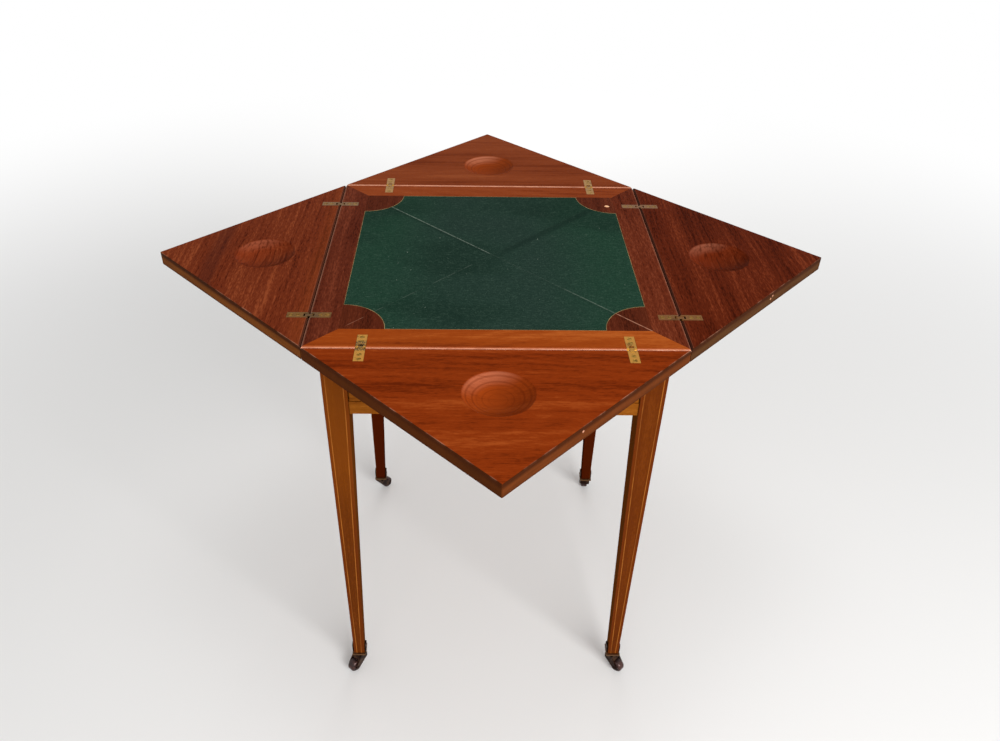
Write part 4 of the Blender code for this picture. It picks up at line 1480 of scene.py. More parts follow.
@dataclass
class Hinges:
    """Eight counter-flap hinges: plates, links and screws."""

    pin_inset: float = 4.0 * MM
    pin_depth: float = 3.85 * MM
    edge_round: float = 3.6 * MM
    width: float = 14.2 * MM
    length: float = 32.2 * MM
    thickness: float = 2.0 * MM
    housing_depth: float = 8.7 * MM
    housing_length: float = 9.85 * MM
    link_width: float = 6.2 * MM
    link_radius: float = 3.55 * MM
    link_arris: float = 0.25 * MM
    pin_radius: float = 1.2 * MM
    arris: float = 0.3 * MM
    screw_places: Sequence[float] = (16.2 * MM, 26.2 * MM)
    screw_radius: float = 3.5 * MM
    screw_depth: float = 1.7 * MM
    screw_slot: float = 0.8 * MM
    screw_sunk: float = 0.08 * MM
    sink_gap: float = 0.15 * MM
    sink_shares: Flat = (0.4, 1.2)
    steps: int = 12
    pin_steps: int = 20
    sink_steps: int = 28
    seed: int = 11

    def pocket(self) -> Shape:
        """Draws what is cut from a board for one plate.

        Returns:
            The tool, with Y from the joint into the board.
        """
        depth, length = self.housing_depth + CLEARANCE, self.housing_length + CLEARANCE
        plate_depth, plate_length = self.thickness + CLEARANCE, self.length + CLEARANCE
        outline = [(-OVERRUN, -depth), (length, -depth), (length, -plate_depth),
                   (plate_length, -plate_depth), (plate_length, OVERRUN), (-OVERRUN, OVERRUN)]
        return bar(outline, self.width + 2 * CLEARANCE)

    def shows(self, edge: Edge) -> bool:
        """Whether an edge of the plate is softened: a long side or the far end of its face.

        Args:
            edge: The edge.
        Returns:
            Whether it is one of them.
        """
        ends = [vertex.co for vertex in edge.verts]
        half, floor = self.width / 2 - TOUCH, -self.edge_round - TOUCH
        at_side = all(abs(end.x) > half for end in ends) and edge.calc_length() < self.length
        at_end = all(end.y > self.length - TOUCH and end.z > -TOUCH for end in ends)
        return all(end.z > floor for end in ends) and (at_side or at_end)

    def plate(self) -> Shape:
        """Makes a let-in plate with chamfered edges, its fork and its countersinks.

        Returns:
            The plate, with Y from the joint into the board.
        """
        low = self.pin_inset - self.edge_round
        round_edge = arc((self.pin_inset, -self.edge_round), self.edge_round, 180, 90, self.steps)
        outline = [(low, -self.housing_depth), *round_edge, (self.length, 0),
                   (self.length, -self.thickness), (self.housing_length, -self.thickness),
                   (self.housing_length, -self.housing_depth)]
        plate = soften(bar(outline, self.width), self.arris, self.shows)
        radius = self.link_radius + CLEARANCE
        slot = arc((self.pin_inset, -self.pin_depth), radius, 0, -90, self.steps)
        slot += [(-OVERRUN, -self.pin_depth - radius), (-OVERRUN, OVERRUN),
                 (self.pin_inset + radius, OVERRUN)]
        wide = self.screw_radius + self.sink_gap
        deep = -self.thickness * self.sink_shares[1]
        profile = [(0, deep), (wide * self.sink_shares[0], deep), (wide, 0), (wide, OVERRUN), (0, OVERRUN)]
        tools = [bar(slot, self.link_width + 2 * CLEARANCE)]
        tools += [moved(turned(profile, self.sink_steps), y=place) for place in self.screw_places]
        return carve(plate, together(tools))

    def link(self) -> Shape:
        """Makes the link with its two pins.

        Returns:
            The link, with Y from the joint line.
        """
        outline = arc((self.pin_inset, 0), self.link_radius, -90, 90, 2 * self.steps)
        outline += arc((-self.pin_inset, 0), self.link_radius, 90, 270, 2 * self.steps)
        link = soften(bar(outline, self.link_width), self.link_arris, sharp)
        half = self.width / 2
        for way in (-1, 1):
            pin = turned([(0, -half), (self.pin_radius, -half), (self.pin_radius, half), (0, half)],
                         self.pin_steps)
            pin = moved(changed(pin, Matrix.Rotation(math.pi / 2, 4, "Y")), y=way * self.pin_inset)
            link = carve(link, pin, "UNION")
        return moved(link, z=-self.pin_depth)

    def spots(self) -> dict[str, float]:
        """Where the two hinges of a side stand along its joint."""
        return {"a": -PLAN.hinge_reach, "b": PLAN.hinge_reach}

    def pockets(self, outwards: bool) -> Shape:
        """The two pockets at the front's joint: the flap's when outwards, or else the bed's."""
        turn = Matrix.Rotation(math.pi if outwards else 0.0, 4, "Z")
        return together([moved(changed(self.pocket(), turn), x, -PLAN.half_bed, PLAN.top)
                         for x in self.spots().values()])

    def build(self) -> None:
        """Places the plates, the links and the screws."""
        plate, link = to_mesh("plate", self.plate()), to_mesh("link", self.link())
        about = Matrix.Rotation(math.pi, 4, "Z")
        screws = Screws(self.screw_radius, self.screw_depth, self.screw_slot, Palette.screw)
        on_bed: list[Spot] = []
        for side in Side:
            on_flap: list[Spot] = []
            for letter, x in self.spots().items():
                label = f"{side.label}_{letter}"
                stand = side.turn @ Matrix.Translation((x, -PLAN.half_bed, PLAN.top))
                self.put(f"bed_plate_{label}", "top", plate, stand, side)
                self.put(f"flap_plate_{label}", f"flap_{side.label}", plate, stand @ about, side)
                self.put(f"hinge_link_{label}", f"links_{side.label}", link, stand, side)
                for spots, way in ((on_bed, 1), (on_flap, -1)):
                    spots += [tuple(stand @ Vector((0, way * place, -self.screw_sunk)))
                              for place in self.screw_places]
            screws.drive(f"flap_screws_{side.label}", f"flap_{side.label}", "hinge", on_flap,
                         [UP] * len(on_flap), side.value)
        screws.drive("bed_screws", "top", "hinge", on_bed, [UP] * len(on_bed), self.seed)
        bpy.data.meshes.remove(plate)
        bpy.data.meshes.remove(link)

    def put(self, name: str, body: str, mesh: bpy.types.Mesh, stand: Matrix, side: Side) -> None:
        """Places a copy of a mesh for a piece of the frame, in the brass of its side."""
        Piece(f"{name}_metal", body, Palette.hinges[side], "hinge", (name,)).place(
            changed(copied(mesh), stand))


@dataclass
class Well:
    """The profile of a flap's dished counter well."""

    from_joint: float = 100 * MM
    radius: float = 48.5 * MM
    depth: float = 12 * MM
    fullness: float = 2.7
    guard: float = 3 * MM
    lip: Sequence[Flat] = ((0.7 * MM, 0.0), (0.3 * MM, 0.07 * MM), (-0.1 * MM, 0.26 * MM))
    rows: int = 26
    steps: int = 96

    def profile(self) -> list[Flat]:
        """Draws the well from the flat guard ring, over its lip, to the middle of the bowl.

        Returns:
            Radius and height of each ring.
        """
        points = [(self.radius + self.guard, 0.0)]
        points += [(self.radius + past, -drop) for past, drop in self.lip]
        past, start = self.lip[-1]
        for i in range(1, self.rows + 1):
            share = 1 - i / self.rows
            drop = start + (self.depth - start) * (1 - share ** self.fullness)
            points.append(((self.radius + past) * share, -drop))
        return points


@dataclass
class Flaps:
    """Four triangular flaps, each a solid board with its well and its hinge pockets."""

    hinges: Hinges
    joint_gap: float = 0.4 * MM
    arris: float = 0.6 * MM
    apex_round: float = 1.6 * MM
    apex_steps: int = 6
    round_steps: int = 9

    def insets(self) -> list[Spot]:
        """Works out the flap's section.

        Returns:
            From the bottom up: height, distance from the joint line, inset of the slanted edges.
        """
        radius, low = self.hinges.edge_round, -PLAN.board
        rows = [(low, self.joint_gap + self.arris, self.arris), (low + self.arris, self.joint_gap, 0.0)]
        for i in range(self.round_steps + 1):
            turn = math.pi / 2 * i / self.round_steps
            height = radius * (math.sin(turn) - 1)
            across = self.hinges.pin_inset - radius * math.cos(turn)
            over = max(0.0, height + self.arris)
            rows.append((height, across, self.arris - math.sqrt(self.arris ** 2 - over ** 2)))
        return rows

    def outline(self, height: float, across: float, inset: float) -> list[Spot]:
        """Draws the flap at one height, in the front's place.

        Args:
            height: The height from the top.
            across: The distance from the joint line.
            inset: How far the slanted edges are drawn in.
        Returns:
            The outline.
        """
        tip = PLAN.reach - inset * math.sqrt(2)
        line = PLAN.half_bed + across
        bow = arc((0, self.apex_round * math.sqrt(2) - tip), self.apex_round, 225, 315, self.apex_steps)
        points = [(tip - line, -line), (line - tip, -line), *bow]
        return [(x, y, PLAN.top + height) for x, y in points]

    def shape(self) -> Shape:
        """Makes the flap in the front's place: its board, its well, its face and its pockets.

        Returns:
            The flap.
        """
        shape = bmesh.new()
        rings = [[shape.verts.new(p) for p in self.outline(*row)] for row in self.insets()]
        shape.faces.new(rings[0])
        bridge(shape, rings)
        centre = (0.0, -PLAN.half_bed - Well.from_joint)
        bridge(shape, [ring(shape, centre, radius, PLAN.top + height, Well.steps)
                       for radius, height in Well().profile()])
        shape.edges.ensure_lookup_table()
        rim = [edge for edge in shape.edges if edge.is_boundary]
        bmesh.ops.triangle_fill(shape, use_beauty=True, edges=rim)
        return carve(shape, self.hinges.pockets(outwards=True))

    def build(self) -> None:
        """Places the four flaps."""
        board = to_mesh("board", self.shape())
        for side in Side:
            name = f"flap_{side.label}"
            Piece(f"{name}_board", name, Palette.flaps[side], "flap", (name,)).place(
                changed(copied(board), side.turn))
        bpy.data.meshes.remove(board)


@dataclass
class Bed:
    """The bed: mitred bands, a core and quarter-round spandrels, with the lift pin."""

    hinges: Hinges
    half_gap: float = 0.4 * MM
    mitre_gap: float = 0.04 * MM
    arris: float = 0.5 * MM
    round_steps: int = 9
    core_top: float = -1.5 * MM
    spandrel_steps: int = 40
    pin_spot: Flat = (211 * MM, 188.5 * MM)
    pin_radius: float = 5 * MM
    pin_neck: float = -1.2 * MM
    pin_shoulder: Flat = (4.7 * MM, -0.95 * MM)
    dome_radius: float = 12.5 * MM
    dome_centre: float = -12.6 * MM
    dome_start: float = 70.5
    dome_steps: int = 8
    foot_radius: float = 8 * MM
    foot_thickness: float = 3 * MM
    pin_travel: float = 4 * MM
    bolt_radius: float = 6 * MM
    bolt_head_radius: float = 14 * MM
    bolt_head_thickness: float = 4 * MM
    bolt_sunk: float = 1.8 * MM

    def band(self, side: Side) -> Shape:
        """Makes a mitred band with its rounded outer edge and its hinge pockets.

        Args:
            side: Where it lies.
        Returns:
            The band.
        """
        radius, inner = self.hinges.edge_round, PLAN.half_cloth + CLEARANCE
        rows = [(-PLAN.board, self.arris), (self.arris - PLAN.board, 0.0)]
        for i in range(self.round_steps + 1):
            turn = math.pi / 2 * i / self.round_steps
            rows.append((radius * (math.sin(turn) - 1), radius * (1 - math.cos(turn))))
        loops = []
        gap = self.mitre_gap
        for height, inset in rows:
            outer = PLAN.half_bed - self.half_gap - inset
            flat = [(gap - outer, -outer), (outer - gap, -outer), (inner - gap, -inner),
                    (gap - inner, -inner)]
            loops.append([(x, y, PLAN.top + height) for x, y in flat])
        return changed(carve(loft(loops), self.hinges.pockets(outwards=False)), side.turn)

    def core(self) -> Shape:
        """Makes the board inside the bands, bored for the pivot and the lift pin.

        Returns:
            The board.
        """
        half = PLAN.half_cloth + CLEARANCE - self.mitre_gap
        core = box((-half, -half, PLAN.top - PLAN.board), (half, half, PLAN.top + self.core_top))
        seat = PLAN.top - self.bolt_sunk - self.bolt_head_thickness - CLEARANCE
        bolt = self.bore(self.bolt_radius, seat, self.bolt_head_radius, PLAN.top)
        return carve(core, together((bolt, self.pin_bore())))

    @staticmethod
    def bore(low_radius: float, seat: float, high_radius: float, top: float) -> Shape:
        """Draws a stepped hole through the board, wider than what it holds.

        Args:
            low_radius, high_radius: What it holds under the step and over it.
            seat: The step's height.
            top: How high the tool stands.
        Returns:
            The tool.
        """
        bottom = PLAN.top - PLAN.board - OVERRUN
        low, high = low_radius + CLEARANCE, high_radius + CLEARANCE
        return turned([(0, bottom), (low, bottom), (low, seat), (high, seat), (high, top), (0, top)])

    def pin_bore(self) -> Shape:
        """The lift pin's bore, with room for its foot."""
        seat = PLAN.top - PLAN.board + self.foot_thickness + self.pin_travel + CLEARANCE
        return moved(self.bore(self.foot_radius, seat, self.pin_radius, PLAN.top + OVERRUN), *self.pin_spot)

    def spandrel(self, corner: Corner) -> Shape:
        """Makes the quarter round in one corner of the cloth.

        Args:
            corner: Where it lies; the one at the back right is bored for the lift pin.
        Returns:
            The spandrel.
        """
        reach = PLAN.half_cloth + CLEARANCE - self.mitre_gap
        bow = arc((PLAN.half_cloth, PLAN.half_cloth), Cloth.spandrel_radius - CLEARANCE, 180, 270,
                  self.spandrel_steps)
        outline = [(reach, reach), (bow[0][0], reach), *bow[1:-1], (reach, bow[-1][1])]
        low = PLAN.top + self.core_top + self.mitre_gap
        piece = changed(slab(outline, low, PLAN.top), corner.mirror)
        return carve(piece, self.pin_bore()) if corner is Corner.BACK_RIGHT else piece

    def pin(self) -> Shape:
        """Turns the lift pin, with its foot and a soft dome.

        Returns:
            The pin.
        """
        foot, collar = -PLAN.board, self.foot_thickness - PLAN.board
        dome = arc((0, self.dome_centre), self.dome_radius, self.dome_start, 90, self.dome_steps)
        profile = [(0, foot), (self.foot_radius, foot), (self.foot_radius, collar),
                   (self.pin_radius, collar), (self.pin_radius, self.pin_neck), self.pin_shoulder,
                   *dome[:-1], (0.0, dome[-1][1])]
        return moved(turned(profile), *self.pin_spot, PLAN.top)

    def build(self) -> None:
        """Places the bed's pieces."""
        board = ("bed_board",)
        for side in Side:
            Piece(f"bed_band_{side.label}", "top", Palette.bands[side], "bed", board).place(self.band(side))
        Piece("bed_core", "top", Palette.core, "bed", board).place(self.core())
        for corner in Corner:
            Piece(f"spandrel_{corner.label}", "top", Palette.spandrels, "bed", board).place(
                self.spandrel(corner))
        Piece("lift_pin_button", "lift_pin", Palette.pin, "pin", ("lift_pin",), 40).place(self.pin())


@dataclass
class Cloth:
    """The baize with its two creases, and the gilt line round it."""

    thickness: float = 1.2 * MM
    sunk: float = 0.08 * MM
    ripple: float = 0.02 * MM
    ripple_turns: Flat = (61, 47)
    edge: float = 0.55 * MM
    crease_depth: float = 0.22 * MM
    crease_width: float = 1.3 * MM
    cell: float = 7 * MM
    near: Sequence[float] = (0.0, 0.4 * MM, 0.8 * MM, 1.3 * MM, 1.9 * MM, 2.7 * MM, 4.2 * MM)
    line_width: float = 0.8 * MM
    line_thickness: float = 0.3 * MM
    line_sunk: float = 0.02 * MM
    line_in: float = 0.12 * MM
    spandrel_radius: float = 65 * MM
    steps: int = 40

    def outline(self, shrunk: float) -> list[Flat]:
        """Draws the cloth's outline.

        Args:
            shrunk: How far it is drawn in.
        Returns:
            The outline.
        """
        corner = PLAN.half_cloth
        bow = arc((corner, corner), self.spandrel_radius + shrunk, 270, 180, self.steps)
        bow[0] = (corner - shrunk, bow[0][1])
        bow[-1] = (bow[-1][0], corner - shrunk)
        points = []
        for _ in Side:
            points += bow
            bow = [(-y, x) for x, y in bow]
        return points

    def height(self, along: float, across: float) -> float:
        """Works out the height of the cloth's face.

        Args:
            along, across: The place along the two diagonals.
        Returns:
            The height, a little lower in the creases.
        """
        waves = math.sin(along * self.ripple_turns[0]) * math.cos(across * self.ripple_turns[1])
        sink = self.sunk + self.ripple * (1 + waves)
        for place, share in ((along, 0.5), (across, 1.0)):
            sink += self.crease_depth * share * math.exp(-(place / self.crease_width) ** 2)
        return PLAN.top - sink

    def shape(self) -> Shape:
        """Lays a grid along the diagonals and cuts it to the outline.

        Returns:
            The cloth.
        """
        reach = PLAN.half_cloth * math.sqrt(2)
        far = self.near[-1]
        count = math.ceil((reach - far) / self.cell)
        half = list(self.near) + [far + (reach - far) * i / count for i in range(1, count + 1)]
        cuts = [-c for c in reversed(half[1:])] + half
        shape = bmesh.new()
        grid = [[shape.verts.new(((a - b) / math.sqrt(2), (a + b) / math.sqrt(2), self.height(b, a)))
                 for b in cuts] for a in cuts]
        for row, following in zip(grid, grid[1:]):
            for i in range(len(cuts) - 1):
                shape.faces.new((row[i], row[i + 1], following[i + 1], following[i]))
        rim = [edge for edge in shape.edges if edge.is_boundary]
        skirt = bmesh.ops.extrude_edge_only(shape, edges=rim)["geom"]
        for vertex in (v for v in skirt if isinstance(v, bmesh.types.BMVert)):
            vertex.co.z = PLAN.top - self.thickness - OVERRUN
        bmesh.ops.contextual_create(shape, geom=[e for e in shape.edges if e.is_boundary])
        knife = slab(self.outline(self.edge), PLAN.top - self.thickness, PLAN.top + OVERRUN)
        return carve(shape, knife, "INTERSECT")

    def build(self) -> None:
        """Places the cloth and its line."""
        baize = Piece("baize_cloth", "top", Palette.cloth, "cloth", ("baize",)).place(self.shape())
        points = [(x, y, PLAN.top - self.line_thickness / 2 - self.line_sunk)
                  for x, y in self.outline(self.edge / 2 - self.line_in)]
        edges = [(i, (i + 1) % len(points)) for i in range(len(points))]
        carrier = carrier_mesh("cloth_line", points, [UP] * len(points), edges)
        strips = Strips(self.line_width, self.line_thickness, Palette.cloth_line)
        strips.lay("cloth_line", "top", "cloth", carrier)


@dataclass
class Leg:
    """Four tapered legs with two lines of stringing on each outer face."""

    top: float = 36.8 * MM
    foot: float = 19.5 * MM
    outer_taper: float = 2.0 * MM
    margin: float = 5 * MM
    arris: float = 1.0 * MM
    arris_steps: int = 3
    foot_arris: float = 0.3 * MM
    line_width: float = 1.25 * MM
    line_thickness: float = 0.4 * MM
    line_proud: float = 0.03 * MM
    line_short: float = 0.1 * MM

    def faces(self, height: float) -> Flat:
        """Works out where a leg's faces lie.

        Args:
            height: The height.
        Returns:
            The inner and the outer face, from the table's middle.
        """
        down = max(0.0, (PLAN.frame_bottom - height) / (PLAN.frame_bottom - PLAN.leg_bottom))
        inner = PLAN.leg_inner + (self.top - self.foot - self.outer_taper) * down
        return inner, PLAN.half_frame - self.outer_taper * down

    def shape(self) -> Shape:
        """Makes the leg in the corner at +X and +Y.

        Returns:
            The leg.
        """
        loops = []
        for height, inset in ((PLAN.leg_bottom, self.foot_arris), (PLAN.leg_bottom + self.foot_arris, 0.0),
                              (PLAN.frame_bottom, 0.0), (PLAN.frame_top, 0.0)):
            inner, outer = self.faces(height)
            low, high = inner + inset + self.arris, outer - inset - self.arris
            loop = []
            for number, centre in enumerate(((high, high), (low, high), (low, low), (high, low))):
                loop += arc(centre, self.arris, 90 * number, 90 * number + 90, self.arris_steps)
            loops.append([(x, y, height) for x, y in loop])
        return loft(loops)

    def stringing(self, corner: Corner) -> bpy.types.Mesh:
        """Draws the four lines of one leg.

        Args:
            corner: Where the leg stands.
        Returns:
            The lines, for the strips to lie on.
        """
        points, facings, edges = [], [], []
        heights = (PLAN.leg_bottom + self.foot_arris, PLAN.frame_bottom, PLAN.frame_top - self.line_short)
        across, back = corner.value
        inset = self.margin + self.line_width / 2
        for on_x, near, (number, height) in product((True, False), (True, False), enumerate(heights)):
            inner, outer = self.faces(height)
            aside = inner + inset if near else outer - inset
            out = outer + self.line_proud - self.line_thickness / 2
            spot = (out * across, aside * back) if on_x else (aside * across, out * back)
            if number:
                edges.append((len(points) - 1, len(points)))
            points.append((*spot, height))
            facings.append((float(across), 0.0, 0.0) if on_x else (0.0, float(back), 0.0))
        return carrier_mesh("stringing", points, facings, edges)

    def build(self) -> None:
        """Places the legs and their stringing."""
        strips = Strips(self.line_width, self.line_thickness, Palette.stringing)
        for corner in Corner:
            name = f"leg_{corner.label}"
            Piece(f"{name}_wood", "frame", Palette.legs, "leg", (name,)).place(
                changed(self.shape(), corner.mirror))
            strips.lay(f"{name}_stringing", "frame", "leg", self.stringing(corner))


@dataclass
class Rails:
    """The frieze rails, the drawer rail and the bearer."""

    thickness: float = 20 * MM
    runner_thickness: float = 12 * MM
    runner_reach: float = 14 * MM
    guide_height: float = 14 * MM
    arris: float = 0.8 * MM
    bearer_half: float = 60 * MM
    bearer_thickness: float = 20 * MM
    housing: float = 10 * MM

    def plain(self, top: float) -> Shape:
        """Makes the drawer rail or the back rail, in the front's place.

        Args:
            top: Its upper edge.
        Returns:
            The rail.
        """
        outer, inner = -PLAN.rail_face, self.thickness - PLAN.rail_face
        outline = [(outer, PLAN.frame_bottom), (inner, PLAN.frame_bottom), (inner, top), (outer, top)]
        return soften(bar(outline, 2 * (PLAN.leg_inner - CLEARANCE)), self.arris, self.along)

    @staticmethod
    def along(edge: Edge) -> bool:
        """Whether an edge runs along the outer face of a rail in the front's place."""
        first, second = (v.co for v in edge.verts)
        return on_face(edge, -PLAN.rail_face) and abs(first.x - second.x) > MM

    def side(self) -> Shape:
        """Makes a side rail with its runner and guide, in the front's place.

        Returns:
            The rail, housed for the bearer.
        """
        face, back = PLAN.rail_face, PLAN.rail_face - self.thickness
        floor, inner = PLAN.drawer_floor, PLAN.leg_inner
        guide_top, runner_bottom = floor + self.guide_height, floor - self.runner_thickness
        runner_edge = inner - self.runner_reach
        section = [(face, PLAN.frame_bottom), (back, PLAN.frame_bottom), (back, runner_bottom),
                   (runner_edge, runner_bottom), (runner_edge, floor), (inner, floor),
                   (inner, guide_top), (back, guide_top), (back, PLAN.frame_top),
                   (face, PLAN.frame_top)]
        shape = bar([(-y, z) for y, z in section], 2 * (inner - CLEARANCE))
        soften(shape, self.arris, self.along)
        half, high = self.bearer_half + CLEARANCE, PLAN.frame_top + OVERRUN
        low = PLAN.frame_top - self.bearer_thickness - CLEARANCE
        return carve(shape, box((-half, -back - self.housing - CLEARANCE, low),
                                (half, OVERRUN - back, high)))

    def build(self) -> None:
        """Places the rails and gives the bearer its finish."""
        rails = {"drawer_rail": (self.plain(PLAN.drawer_floor), Side.FRONT, Palette.rails),
                 "side_rail_right": (self.side(), Side.RIGHT, Palette.side_rails),
                 "back_rail": (self.plain(PLAN.frame_top), Side.BACK, Palette.rails),
                 "side_rail_left": (self.side(), Side.LEFT, Palette.side_rails)}
        for name, (shape, side, finish) in rails.items():
            Piece(f"{name}_wood", "frame", finish, "rail", (name,)).place(changed(shape, side.turn))
        dress(Palette.bearer, "pivot_bearer")
        dress(Palette.steel, "pivot_bolt", "pivot_nut")


def dress(finish: Finish, *nodes: str) -> None:
    """Gives frame pieces that are kept their finish.

    Args:
        finish: The finish.
        nodes: The pieces' names in the frame.
    """
    for node in nodes:
        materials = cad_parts[node].data.materials
        materials.clear()
        materials.append(finish.material())
        LOG.info("%s: kept", node)


@dataclass
class Drawer:
    """The drawer: front, knob, and the lining as the frame has it."""

    gap: float = 1.0 * MM
    thickness: float = 18 * MM
    arris: float = 1.0 * MM
    groove: float = 5 * MM
    groove_short: float = 4 * MM
    bottom_raise: float = 8 * MM
    bottom_thickness: float = 5 * MM
    knob_radius: float = 10 * MM
    knob_length: float = 20 * MM
    knob_shares: Sequence[Flat] = ((0.0, 0.0), (0.78, 0.0), (0.78, 0.05), (0.62, 0.09), (0.45, 0.17),
                                   (0.42, 0.28), (0.46, 0.4), (0.66, 0.5), (0.9, 0.6), (0.99, 0.7),
                                   (1.0, 0.77), (0.95, 0.86), (0.84, 0.93), (0.62, 0.98), (0.4, 1.0),
                                   (0.0, 1.0))

    def front(self) -> Shape:
        """Makes the front with softened edges, grooved for the bottom.

        Returns:
            The front.
        """
        half, face = PLAN.leg_inner - self.gap, -PLAN.rail_face
        low, high = PLAN.drawer_floor + self.gap, PLAN.frame_top - self.gap
        back, floor = face + self.thickness, PLAN.drawer_floor + self.bottom_raise
        front = box((-half, face, low), (half, back, high))
        soften(front, self.arris, lambda edge: on_face(edge, face), 3)
        reach = half - self.groove_short + CLEARANCE
        return carve(front, box((-reach, back - self.groove - CLEARANCE, floor),
                                (reach, back + OVERRUN, floor + self.bottom_thickness + 2 * CLEARANCE)))

    def knob(self) -> Shape:
        """Turns the knob on its seat.

        Returns:
            The knob.
        """
        profile = [(self.knob_radius * r, CLEARANCE + self.knob_length * z) for r, z in self.knob_shares]
        knob = changed(turned(profile), Matrix.Rotation(math.pi / 2, 4, "X"))
        return moved(knob, y=-PLAN.rail_face, z=(PLAN.drawer_floor + PLAN.frame_top) / 2)

    def build(self) -> None:
        """Places the drawer."""
        Piece("drawer_front_wood", "drawer", Palette.rails, "rail", ("drawer_front",)).place(self.front())
        Piece("drawer_knob_brass", "drawer", Palette.knob, "hinge", ("drawer_knob",), 40).place(self.knob())
        dress(Palette.lining_long, "drawer_side_left", "drawer_side_right")
        dress(Palette.lining, "drawer_back", "drawer_bottom")


@dataclass
class Castors:
    """Four castors: socket with lugs, forked horn and wheel."""

    height: float = 43.6 * MM
    plate_thickness: float = 3.4 * MM
    plate_round: float = 0.8 * MM
    lug_root: float = 0.9 * MM
    lug_height: float = 19 * MM
    lug_width: float = 13 * MM
    lug_thickness: float = 2.6 * MM
    lug_round: float = 3.2 * MM
    lug_arris: float = 0.5 * MM
    pintle_radius: float = 3.5 * MM
    pintle_length: float = 14 * MM
    wheel_radius: float = 12 * MM
    wheel_half: float = 7.5 * MM
    wheel_gap: float = 0.5 * MM
    wheel_recess: float = 1.5 * MM
    rim: float = 5 * MM
    rim_arris: float = 0.5 * MM
    tread: Flat = (0.02 * MM, 5.2 * MM)
    crown_radius: float = 4.4 * MM
    hub_radius: float = 5 * MM
    hub_arris: float = 0.4 * MM
    axle_radius: float = 2 * MM
    axle_gap: float = 0.2 * MM
    trail: float = 16 * MM
    collar_radius: float = 8 * MM
    collar_thickness: float = 4 * MM
    collar_round: Flat = (1.0 * MM, 0.3 * MM)
    bridge_gap: float = 2 * MM
    stem_start: float = 2 * MM
    cheek: float = 2.5 * MM
    cheek_corner: Flat = (3.2 * MM, 1.5 * MM)
    cheek_arris: float = 0.7 * MM
    eye_radius: float = 5 * MM
    rivet: Sequence[Flat] = ((0.0, 0.7 * MM), (1.4 * MM, 0.6 * MM), (2.5 * MM, 0.2 * MM),
                             (2.7 * MM, -0.3 * MM))
    rivet_neck: float = -0.4 * MM
    screw_radius: float = 2.3 * MM
    screw_depth: float = 1.2 * MM
    screw_slot: float = 0.6 * MM
    screw_turn: float = 1.2
    screw_proud: float = 0.15 * MM
    screw_share: float = 0.62
    seed: int = 5
    steps: int = 48
    small_steps: int = 24

    def socket(self, leg: Leg, centre: float) -> Shape:
        """Makes the plate and its two lugs, in the corner at +X and +Y.

        Args:
            leg: The leg that they hold.
            centre: The foot's middle, along X and Y.
        Returns:
            The socket, bored for the pintle.
        """
        half = leg.foot / 2 + CLEARANCE + self.lug_thickness
        low = self.height - self.plate_thickness
        plate = box((centre - half, centre - half, low), (centre + half, centre + half, self.height))
        soften(plate, self.plate_round, sharp, 3)
        near, far = centre - self.lug_width / 2, centre + self.lug_width / 2
        high = self.height + self.lug_height
        for side, way in ((0, -1), (1, 1)):
            loops = []
            for z in (low + self.lug_root, high):
                face = leg.faces(z)[side] + way * CLEARANCE
                back = face + way * self.lug_thickness
                loops.append([(face, near, z), (back, near, z), (back, far, z), (face, far, z)])
            lug = soften(loft(loops), self.lug_round, lambda edge: self.upper(edge, high), 5)
            plate = carve(plate, soften(lug, self.lug_arris, sharp), "UNION")
        wide, top = self.pintle_radius + CLEARANCE, self.height + OVERRUN
        bore = turned([(0, 0), (wide, 0), (wide, top), (0, top)], self.small_steps)
        return carve(plate, moved(bore, centre, centre))

    @staticmethod
    def upper(edge: Edge, high: float) -> bool:
        """Whether an edge runs across the lug's top end."""
        first, second = (v.co for v in edge.verts)
        return min(first.z, second.z) > high - 10 * TOUCH and abs(first.x - second.x) > 10 * TOUCH

    def horn(self) -> Shape:
        """Makes the fork with its collar, pintle and axle.

        Returns:
            The horn at the origin; its wheel trails along +Y.
        """
        inner, radius = self.wheel_half + self.wheel_gap, self.collar_radius
        half = inner + self.cheek
        under = 2 * self.wheel_radius + self.bridge_gap
        top = self.height - self.plate_thickness - CLEARANCE
        outline = [(-radius, top - self.collar_thickness), (-radius, under)]
        outline += arc((self.trail, self.wheel_radius), self.eye_radius, 200, 380, 20)
        outline += [(radius + self.cheek_corner[0], under + self.cheek_corner[1]),
                    (radius, top - self.collar_thickness)]
        fork = soften(bar(outline, 2 * half), self.cheek_arris, sharp, 3)
        reach = self.trail + self.wheel_radius
        fork = carve(fork, box((-inner, -reach, 0), (inner, reach, under)))
        base, tip = under + self.stem_start, top + self.pintle_length
        wide, small = self.collar_round
        stem = turned([(0, base), (radius, base), (radius, top - wide), (radius - small, top - small),
                       (radius - wide, top), (self.pintle_radius, top), (self.pintle_radius, tip),
                       (0, tip)], self.steps)
        ends = [*self.rivet, (self.axle_radius, self.rivet_neck)]
        rivet = turned([(r, -half - out) for r, out in ends]
                       + [(r, half + out) for r, out in reversed(ends)], self.small_steps)
        rivet = moved(changed(rivet, Matrix.Rotation(math.pi / 2, 4, "Y")), y=self.trail, z=self.wheel_radius)
        return carve(carve(fork, stem, "UNION"), rivet, "UNION")

